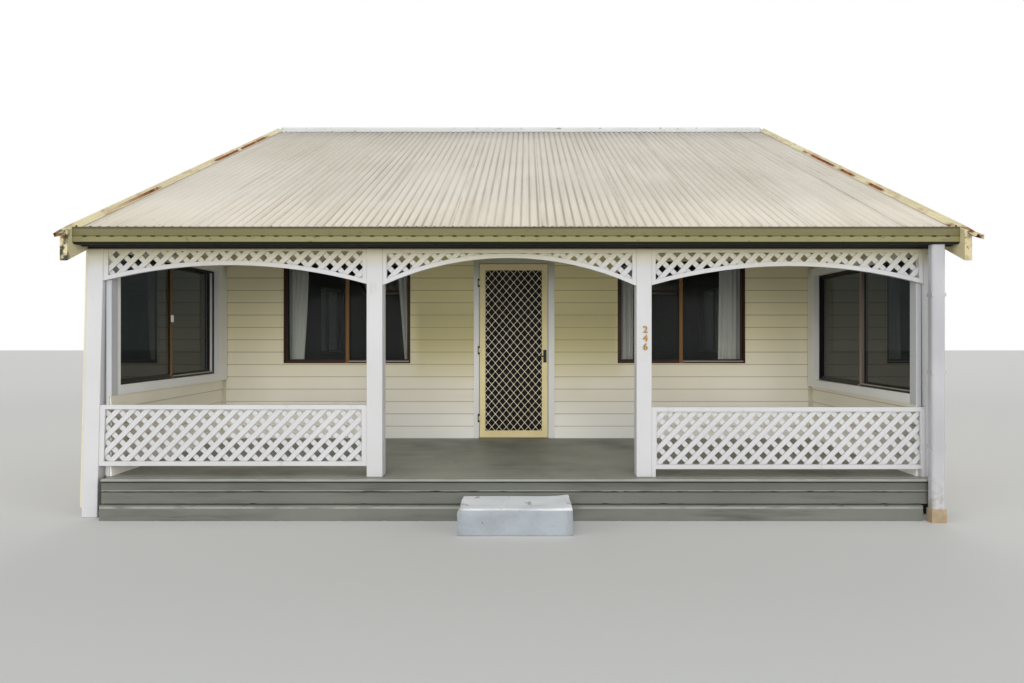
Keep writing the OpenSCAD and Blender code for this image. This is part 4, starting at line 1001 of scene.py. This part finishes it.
keep("verandah_boards", bm, "deck_paint", HOUSE, ["verandah_deck"])

# %% Chipped skirting boards
STEP_ENDS, SKIRT_BACK, CUT_STEP = (-0.433, 0.475), -4.745, 0.035


def old_board(bm, low, high, seed, chip=0.006):
    """A long board whose edges are nicked here and there."""
    edges = list({e for v in board(bm, low, high) for e in v.link_edges
                  if abs(e.verts[0].co.x - e.verts[1].co.x) > 0.3})
    cuts = max(int((high[0] - low[0]) / CUT_STEP), 2)
    bmesh.ops.subdivide_edges(bm, edges=edges, cuts=cuts, use_grid_fill=True)
    for v in bm.verts:
        inside = all(low[k] - 0.001 <= v.co[k] <= high[k] + 0.001 for k in range(3))
        if not inside or v.co.y > low[1] + 0.004:
            continue
        rag = noise.noise(Vector((v.co.x * 16, v.co.z * 9, seed)))
        if v.co.z > high[2] - 0.005:
            v.co.z -= chip * max(0.0, rag - 0.18) * 3
        elif v.co.z < low[2] + 0.005:
            v.co.z += chip * max(0.0, rag - 0.25) * 2


bm = bmesh.new()
for top, foot, seed in ((SLAB_Z, 0.244, 1.0), (0.235, 0.139, 2.0)):
    old_board(bm, (-INNER_X, -4.765, foot), (INNER_X + 0.065, SKIRT_BACK, top), seed)
foot_top = SLAB_Z - 2 * 0.084 - 3 * 0.009
for left, right, seed in ((-INNER_X, STEP_ENDS[0], 3.0), (STEP_ENDS[1], INNER_X - 0.04, 4.0)):
    old_board(bm, (left, -4.795, 0), (right, SKIRT_BACK, foot_top), seed, 0.01)
for middle in (-2.76, -0.92, 0.92, 2.76):
    board(bm, (middle - 0.0225, SKIRT_BACK, 0), (middle + 0.0225, DECK_FRONT, SLAB_Z - 0.09))
keep("skirting_boards", bm, "grey_boards", HOUSE, ["deck_skirt"])

# %% [markdown]
# ## Cast step
# The step is a block of concrete that was cast in rough boxing: its nosing is worn round and its
# faces wander. A box is cut into a fine grid, its top edges are bevelled, and noise does the rest.
# The step of the rear door is the same block, turned round and drawn out to the wall.

# %% Cast steps
STEP_LOW, STEP_HIGH = Vector((STEP_ENDS[0], -5.232, 0)), Vector((STEP_ENDS[1], -4.765, 0.213))
bm = bmesh.new()
verts = board(bm, STEP_LOW, STEP_HIGH, 0)
top_edges = {e for v in verts for e in v.link_edges
             if all(p.co.z > STEP_HIGH.z - 0.01 for p in e.verts)}
soften(bm, list(top_edges), 0.03, 4)
bmesh.ops.subdivide_edges(bm, edges=bm.edges[:], cuts=9, use_grid_fill=True)
for v in bm.verts:
    at = v.co.copy()
    out = Vector((0.3 if at.x > 0.02 else -0.3, -1.0 if at.y < -5.1 else 0, 0.6))
    amount = 0.011 * noise.noise(at * 5) + 0.004 * noise.noise(at * 23)
    if 0.004 < at.z and -5.23 < at.y < -4.78 or at.y <= -5.23:
        v.co += out * amount - Vector((0, 0, 0.004))
    if v.co.z > 0.1:
        v.co.z += 0.014 * max(0.0, (v.co.x - 0.25) / 0.22) ** 2
    v.co.x = max(min(v.co.x, 0.482), -0.44)
    v.co.z = max(v.co.z, 0)
twin = bmesh.ops.duplicate(bm, geom=bm.verts[:] + bm.edges[:] + bm.faces[:])["geom"]
twin = only(bmesh.types.BMVert, twin)
half_turn(bm, twin)
STRETCH_FROM = 4.9
for v in twin:
    if v.co.y < STRETCH_FROM:
        share = (v.co.y + STEP_HIGH.y) / (STRETCH_FROM + STEP_HIGH.y)
        v.co.y = REAR_WALL + share * (STRETCH_FROM - REAR_WALL)
face_out(bm)
keep("cast_steps", bm, "step_paint", HOUSE, ["steps"], smooth=True)

# %% [markdown]
# ## Posts
# Square hardwood posts with eased arrises. A bevelled box is enough, but the arris has to catch
# the light, so it gets three segments. The corner posts lean out at their feet, and the left one
# has a cover strip beside it.

# %% Posts
BEAM_Z, POST_FRONT, LEFT_LEAN = 2.3354, -4.69, 0.057
bm = bmesh.new()
for middle, wide in ((-1.2, 0.137), (1.125, 0.131)):
    board(bm, (middle - wide / 2, POST_FRONT, FLOOR_Z),
          (middle + wide / 2, POST_FRONT + wide, BEAM_Z), 0.006, 3)
keep("verandah_post_timbers", bm, "white_paint", HOUSE, ["verandah_posts"])
bm = bmesh.new()
for left, foot, lean in ((-3.67, 0.0, -LEFT_LEAN), (3.535, FLOOR_Z, 0.022)):
    for v in board(bm, (left, POST_FRONT, foot), (left + 0.135, -4.59, BEAM_Z), 0.006, 3):
        v.co.x += lean * (BEAM_Z - v.co.z) / (BEAM_Z - foot)
keep("corner_post_timbers", bm, "white_paint", HOUSE, ["corner_posts"])
bm = bmesh.new()
for v in board(bm, (-3.6925, -4.68, 0.085), (-3.6705, -4.62, BEAM_Z)):
    v.co.x -= LEFT_LEAN * (BEAM_Z - v.co.z) / BEAM_Z
keep("post_cover_strip", bm, "cream_trim")

# %% [markdown]
# ## Downpipes
# A folded steel pipe with rounded corners. Straps hold it to the post, each a thin band. The
# rear pipe is the front one, turned round.

# %% Downpipes
STRAP_H = 0.03
bm = bmesh.new()
for is_rear in (True, False):
    pipe = board(bm, (3.51, -4.857, 0.114), (3.625, -4.781, 2.337), 0)
    upright = {e for v in pipe for e in v.link_edges
               if abs(e.verts[0].co.z - e.verts[1].co.z) > 0.1}
    soften(bm, list(upright), 0.022, 5)
    for z in (0.62, 1.25, 1.9):
        board(bm, (3.508, -4.859, z), (3.627, -4.779, z + STRAP_H), 0)
    if is_rear:
        half_turn(bm, bm.verts)
keep("folded_downpipes", bm, "pipe_paint", HOUSE, ["downpipes"])

# %% [markdown]
# ## Windows
# The verandah end windows and the windows round the back are glazed in grey solar glass; the two
# front windows are clear, so that the curtains show. A pane is a closed thin box, because the
# solar glass bends light where it enters and where it leaves. Each aluminium sash holds its pane
# in a black rubber gasket, and the inner sash runs on a bright track. A small latch sits on the
# meeting stile. These thin lines are what makes a window read as one, so they are real strips.

# %% Windows drawn flat
FRAME_W, FRAME_D, SASH_W, MEET_W, SASH_T = 0.018, 0.08, 0.024, 0.042, 0.024
PROUD, HELD, GASKET, TRACK_H = 0.008, 0.006, 0.005, 0.012


def window_places():
    """Each window: its kind, the way it looks out, its left foot from outside, and its size."""
    low, tall, wide = WINDOW_Z[0], WINDOW_Z[1] - WINDOW_Z[0], 2 * WINDOW_HALF
    for left, right in FRONT_AT:
        yield "front", 0, (left, FRONT_WALL - PROUD, low), right - left, tall
    for side, (near, far, sill, wing_tall) in WING.items():
        corner = (side * (INNER_X - PROUD), -near if side > 0 else -far, FLOOR_Z + sill)
        yield "wing", -90 * side, corner, far - near, wing_tall
    for y in SIDE_AT:
        for side in (1, -1):
            corner = (side * (OUTER_X + PROUD), y - side * WINDOW_HALF, low)
            yield "house", 90 * side, corner, wide, tall
    for x in REAR_AT:
        corner = (x + WINDOW_HALF, REAR_WALL + PROUD, REAR_Z[0])
        yield "house", 180, corner, wide, REAR_Z[1] - REAR_Z[0]


def sash_of(width, k):
    """Where the glass of one sash begins and ends, and how deep the sash lies."""
    inner = width - 2 * FRAME_W
    length = (inner + MEET_W) / 2
    left = FRAME_W + k * (inner - length)
    stiles = (SASH_W, MEET_W) if k == 0 else (MEET_W, SASH_W)
    return left + stiles[0], left + length - stiles[1], FRAME_D / 2 + (k - 1) * SASH_T


def window_boards(kind, angle, width, height):
    """The boards of one window: the piece that each belongs to, its corners and its edge."""
    low, high = FRAME_W + SASH_W, height - FRAME_W - SASH_W
    for k in (0, 1):
        left, right, depth = sash_of(width, k)
        yield ("clear_panes" if kind == "front" else "tinted_panes",
               (left - HELD, depth + 0.0095, low - HELD),
               (right + HELD, depth + 0.0145, high + HELD), 0)
        for (x0, z0), (x1, z1) in ring(left, low, right, high, GASKET):
            yield "glazing_rubber", (x0, depth + 0.004, z0), (x1, depth + 0.009, z1), 0.001
    far_end, track_top = width - FRAME_W, FRAME_W + TRACK_H
    yield "sash_tracks", (left, 0.004, FRAME_W), (far_end, 0.012, track_top), 0.001
    yield "sash_tracks", (FRAME_W, 0.066, FRAME_W), (left - MEET_W, 0.074, track_top), 0.001
    if kind == "wing" and angle == 90:
        yield ("sash_latches", (far_end - 0.004, 0.014, FRAME_W),
               (far_end, 0.04, height - FRAME_W), 0.001)
    if kind == "house" or angle == 90:
        left, right, depth = sash_of(width, 0)
        x, z = right + MEET_W / 2, height * 0.52
        yield ("sash_latches", (x - 0.019, depth - 0.02, z - 0.037), (x + 0.019, depth, z + 0.037),
               0.0095, 3)


# %% Panes, gaskets, tracks and latches
# Each piece: its slot, its own finish if it has one, and the solid that it stands for.
SASH_PIECES = {"clear_panes": ("glass", None, ["window_glass"]),
               "tinted_panes": ("glass", "solar_glass", ()),
               "glazing_rubber": ("black_metal", "rubber", ()),
               "sash_tracks": ("rod_metal", "mill_aluminium", ()),
               "sash_latches": ("white_paint", "brightened_white", ())}
drawn = {name: bmesh.new() for name in SASH_PIECES}
for kind, angle, corner, width, height in window_places():
    turn = Matrix.Translation(corner) @ Matrix.Rotation(math.radians(angle), 4, "Z")
    for name, *shape in window_boards(kind, angle, width, height):
        bmesh.ops.transform(drawn[name], matrix=turn, verts=board(drawn[name], *shape))
for name, (slot, finish, solids) in SASH_PIECES.items():
    keep(name, drawn[name], slot, HOUSE, solids, finish)

# %% [markdown]
# ## Curtains
# A curtain is about twice as wide as the gap that it fills: gathered on its rod, it falls in
# folds. Each one starts as a flat sheet that is already pleated at the rod, pinned along its top
# row, and then the cloth simulation lets gravity and stiffness settle the rest. The result is
# applied, so the curtain is plain mesh.

# %% Curtain cloth
ROD_Y, TOP_Z = FRONT_WALL + 0.185, FLOOR_Z + 2.1795
CURTAIN_L, FOLD_W, FOLD_DEPTH, STEPS_PER_FOLD, CLOTH_ROWS = 1.5, 0.055, 0.021, 10, 40
REACH = 0.02


def curtain(name, left, right, seed, pull):
    """A pleated sheet, and the length of its folds' line, which is the cloth's flat width."""
    chance = random.Random(seed)
    width = right - left
    folds = max(round(width / FOLD_W), 2)
    steps = folds * STEPS_PER_FOLD
    shares = [i / steps for i in range(steps + 1)]
    line = [(share * width, FOLD_DEPTH * math.sin(math.tau * folds * share)) for share in shares]
    phase = [chance.uniform(-0.35, 0.35) for _ in range(folds + 1)]
    bm = bmesh.new()
    bmesh.ops.create_grid(bm, x_segments=steps, y_segments=CLOTH_ROWS, size=1)
    for v in bm.verts:
        i = round((v.co.x + 1) / 2 * steps)
        (x, y), share, down = line[i], shares[i], (1 - v.co.y) / 2
        sway = phase[min(int(share * folds), folds)] * down
        lean = (pull[0] * (1 - share) + pull[1] * share) * down
        x += 0.008 * math.sin(3 * down + sway * 4) + lean
        y = y * (1 - 0.25 * down * abs(sway)) + 0.004 * noise.noise((share * 9, down * 2, seed))
        v.co = (left + x, ROD_Y + y, TOP_Z - down * (CURTAIN_L - 0.004))
    made = keep(name, bm, "curtain_cloth", smooth=True)
    return made, sum(math.dist(a, b) for a, b in zip(line, line[1:]))


def settle(made, frames=18):
    """Pin the top row, let the cloth fall for a moment, and keep what comes out."""
    pins = made.vertex_groups.new(name="pins")
    top = [v.index for v in made.data.vertices if v.co.z > TOP_Z - 0.001]
    pins.add(top, 1.0, "REPLACE")
    cloth = made.modifiers.new("cloth", "CLOTH")
    values = {"vertex_group_mass": "pins", "quality": 6, "mass": 0.15, "tension_stiffness": 40,
              "compression_stiffness": 40, "bending_stiffness": 0.8, "air_damping": 3}
    for name, value in values.items():
        setattr(cloth.settings, name, value)
    cloth.collision_settings.use_collision = False
    cloth.point_cache.frame_start, cloth.point_cache.frame_end = 1, frames
    for step in range(1, frames + 1):
        scene.frame_set(step)
    graph = bpy.context.evaluated_depsgraph_get()
    settled = bpy.data.meshes.new_from_object(made.evaluated_get(graph))
    made.modifiers.clear()
    for v, new in zip(made.data.vertices, settled.vertices):
        move = new.co - v.co
        if move.length > REACH:
            move *= REACH / move.length
        v.co += move
        v.co.z = max(v.co.z, TOP_Z - CURTAIN_L)
        v.co.y = min(max(v.co.y, ROD_Y - 0.03), ROD_Y + 0.03)
    made.vertex_groups.clear()
    scene.frame_set(1)


# Each curtain: its two ends at the rod, and how far they are drawn aside at the hem.
CURTAINS = [(-2.78, -2.54, (0.01, -0.09)), (-1.46, -1.30, (0.12, 0.0)),
            (1.235, 1.41, (0.0, -0.02)), (2.455, 2.72, (-0.04, 0.0))]
for number, (left, right, pull) in enumerate(CURTAINS):
    made, flat = curtain("curtain_" + str(number + 1), left, right, number + 40, pull)
    settle(made)
    if number == 0:
        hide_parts("curtains")

# %% [markdown]
# ## Screen door
# The leaf is a box section of aluminium, mitred at its corners. Bars that cross in diamonds fill
# it, with a small stud at each crossing, and the insect mesh lies behind. The pieces ride on the
# leaf, so they swing with it.

# %% Screen door leaf
DOOR_L, DOOR_R, DOOR_Z, DOOR_TOP = -0.45, 0.362, 0.357, 2.42
DOOR_Y, DOOR_T, STILE, BEAD, HINGE_L = -2.44, 0.035, 0.068, 0.003, 0.05
OPEN_L, OPEN_R, OPEN_Z, OPEN_TOP = DOOR_L + STILE, DOOR_R - STILE, DOOR_Z + 0.08, DOOR_TOP - 0.072
bm = bmesh.new()
for x0, z0, x1, z1 in ((DOOR_L, DOOR_Z, OPEN_L, DOOR_TOP), (OPEN_R, DOOR_Z, DOOR_R, DOOR_TOP),
                       (OPEN_L, OPEN_TOP, OPEN_R, DOOR_TOP), (OPEN_L, DOOR_Z, OPEN_R, OPEN_Z)):
    board(bm, (x0, DOOR_Y, z0), (x1, DOOR_Y + DOOR_T, z1), 0.0025, 2)
for (x0, z0), (x1, z1) in ring(OPEN_L, OPEN_Z, OPEN_R, OPEN_TOP, BEAD):
    board(bm, (x0, DOOR_Y + 0.006, z0), (x1, DOOR_Y + 0.0119, z1), 0.001)
for height in (0.239, 1.045, 1.846):
    z = FLOOR_Z + height
    rod(bm, (-0.45325, -2.447, z), 0.0072, HINGE_L, turn=Matrix.Identity(4))
    board(bm, (-0.4495, -2.4425, z - HINGE_L / 2), (-0.4253, -2.44, z + HINGE_L / 2), 0.0008)
keep("screen_door_frame", bm, "screen_frame", LEAF, ["screen_door"])

# %% Bars of the grille, from edge to edge both ways, and a stud where two cross
DIAMOND_W, DIAMOND_H, BAR_W, SHORTEST, STUD_ROOM = 0.087, 0.101, 0.0056, 0.15, 0.01
grille_middle = Vector(((OPEN_L + OPEN_R) / 2, DOOR_Y + 0.012, (OPEN_Z + OPEN_TOP) / 2))
half_w, half_h = (OPEN_R - OPEN_L) / 2, (OPEN_TOP - OPEN_Z) / 2
reach = 2 * half_h / DIAMOND_H
bm = bmesh.new()
for lean in (-1, 1):
    slope = Vector((DIAMOND_W / 2, 0, lean * DIAMOND_H / 2))
    turn = Matrix.Rotation(-math.atan2(slope.z, slope.x), 4, "Y")
    for k in range(-14, 15):
        start = max(-reach, (-half_w - k * DIAMOND_W) / slope.x)
        end = min(reach, (half_w - k * DIAMOND_W) / slope.x)
        if end - start < SHORTEST:
            continue
        half_l = (end - start) * slope.length / 2
        verts = board(bm, (-half_l, -0.003, -BAR_W / 2), (half_l, 0.003, BAR_W / 2), 0.0015)
        at = grille_middle + Vector((k * DIAMOND_W, 0, 0)) + slope * (start + end) / 2
        bmesh.ops.transform(bm, matrix=Matrix.Translation(at) @ turn, verts=verts)
keep("grille_bars", bm, "screen_frame", LEAF, ["screen_grille"], "grille_coat")

ACROSS = Matrix.Rotation(math.radians(90), 4, "X")
stud, bm = bmesh.new(), bmesh.new()
dome(stud, 0.0085, 0.0035, 0, ACROSS)
crossings = [(i * DIAMOND_W / 2, j * DIAMOND_H / 2)
             for i in range(-9, 10) for j in range(-40, 41) if (i + j) % 2 == 0]
stamp(bm, stud, [Matrix.Translation(grille_middle + Vector((x, 0, z))) for x, z in crossings
                 if abs(x) < half_w - STUD_ROOM and abs(z) < half_h - STUD_ROOM])
keep("grille_studs", bm, "screen_frame", LEAF, finish="grille_coat")

# %% [markdown]
# ## Lever and lock
# A long plate with a lever that turns towards the hinges and a key cylinder under it, on both
# faces of the leaf, with a screw at each end. The lever is a bar with soft edges on a round neck.

# %% Lever set
HANDLE_X, HANDLE_Z = DOOR_R - STILE / 2, FLOOR_Z + 0.974
bm = bmesh.new()
for face_y, out in ((DOOR_Y, -1), (DOOR_Y + DOOR_T, 1)):
    for back, front, left, right, half_h, edge in ((0, 0.007, -0.019, 0.019, 0.075, 0.003),
                                                   (0.033, 0.045, -0.097, 0.008, 0.008, 0.004)):
        y0, y1 = sorted((face_y + out * back, face_y + out * front))
        board(bm, (HANDLE_X + left, y0, HANDLE_Z - half_h),
              (HANDLE_X + right, y1, HANDLE_Z + half_h), edge, 2)
    for rise, radius, deep in ((0, 0.0085, 0.044), (-0.048, 0.0085, 0.013),
                               (0.062, 0.003, 0.009), (-0.068, 0.003, 0.009)):
        rod(bm, (HANDLE_X, face_y + out * deep / 2, HANDLE_Z + rise), radius, deep, 16)
keep("lever_set", bm, "black_metal", LEAF, ["screen_handle"])

# %% [markdown]
# ## House number
# Three small brass figures are screwed one over the other to the right-hand post. They are set
# as text, turned to mesh, and only then stood up in their place. The number is a plain one.

# %% House number
DIGIT_STEP = 0.0745
for row, digit in enumerate("246"):
    letters = bpy.data.curves.new("digit_" + digit, "FONT")
    letters.body = digit
    letters.size = 0.082
    letters.extrude = 0.0025
    letters.bevel_depth = 0.0008
    letters.align_x = "CENTER"
    shown = link("digit_text", letters)
    bpy.context.view_layer.update()
    bm = bmesh.new()
    bm.from_mesh(bpy.data.meshes.new_from_object(shown))
    bpy.data.objects.remove(shown)
    place = Matrix.Translation((1.135, -4.6925, 1.596 - DIGIT_STEP * row)) @ ACROSS
    bmesh.ops.transform(bm, matrix=place, verts=bm.verts)
    keep("number_figure_" + digit, bm, "screen_frame", finish="brass")

# %% [markdown]
# ## The rear door
# A plain four-panel door, with mouldings that are frames set into its face, and a small knob.

# %% Rear door panels and knob
PANEL_HALF, PANEL_Y, MOULDING, FIELD = 0.13, REAR_WALL - 0.02, 0.018, 0.045
bm = bmesh.new()
for x in (-0.2, 0.2):
    left, right = x - PANEL_HALF, x + PANEL_HALF
    for low, high in ((FLOOR_Z + 0.16, FLOOR_Z + 0.85), (FLOOR_Z + 1.0, FLOOR_Z + 1.82)):
        for (x0, z0), (x1, z1) in ring(left, low, right, high, MOULDING):
            board(bm, (x0, PANEL_Y, z0), (x1, PANEL_Y + 0.009, z1), 0.004, 2)
        board(bm, (left + FIELD, PANEL_Y, low + FIELD),
              (right - FIELD, PANEL_Y + 0.006, high - FIELD), 0.005, 2)
keep("rear_door_panels", bm, "cream_trim")
bm = bmesh.new()
knob = Vector((-0.34, REAR_WALL + 0.02, FLOOR_Z + 0.95))
bmesh.ops.create_uvsphere(bm, u_segments=20, v_segments=12, radius=0.024,
                          matrix=Matrix.Translation(knob))
for back, radius, deep in ((0.03, 0.009, 0.05), (0.037, 0.027, 0.006)):
    rod(bm, knob - Vector((0, back, 0)), radius, deep)
keep("rear_door_knob", bm, "black_metal")
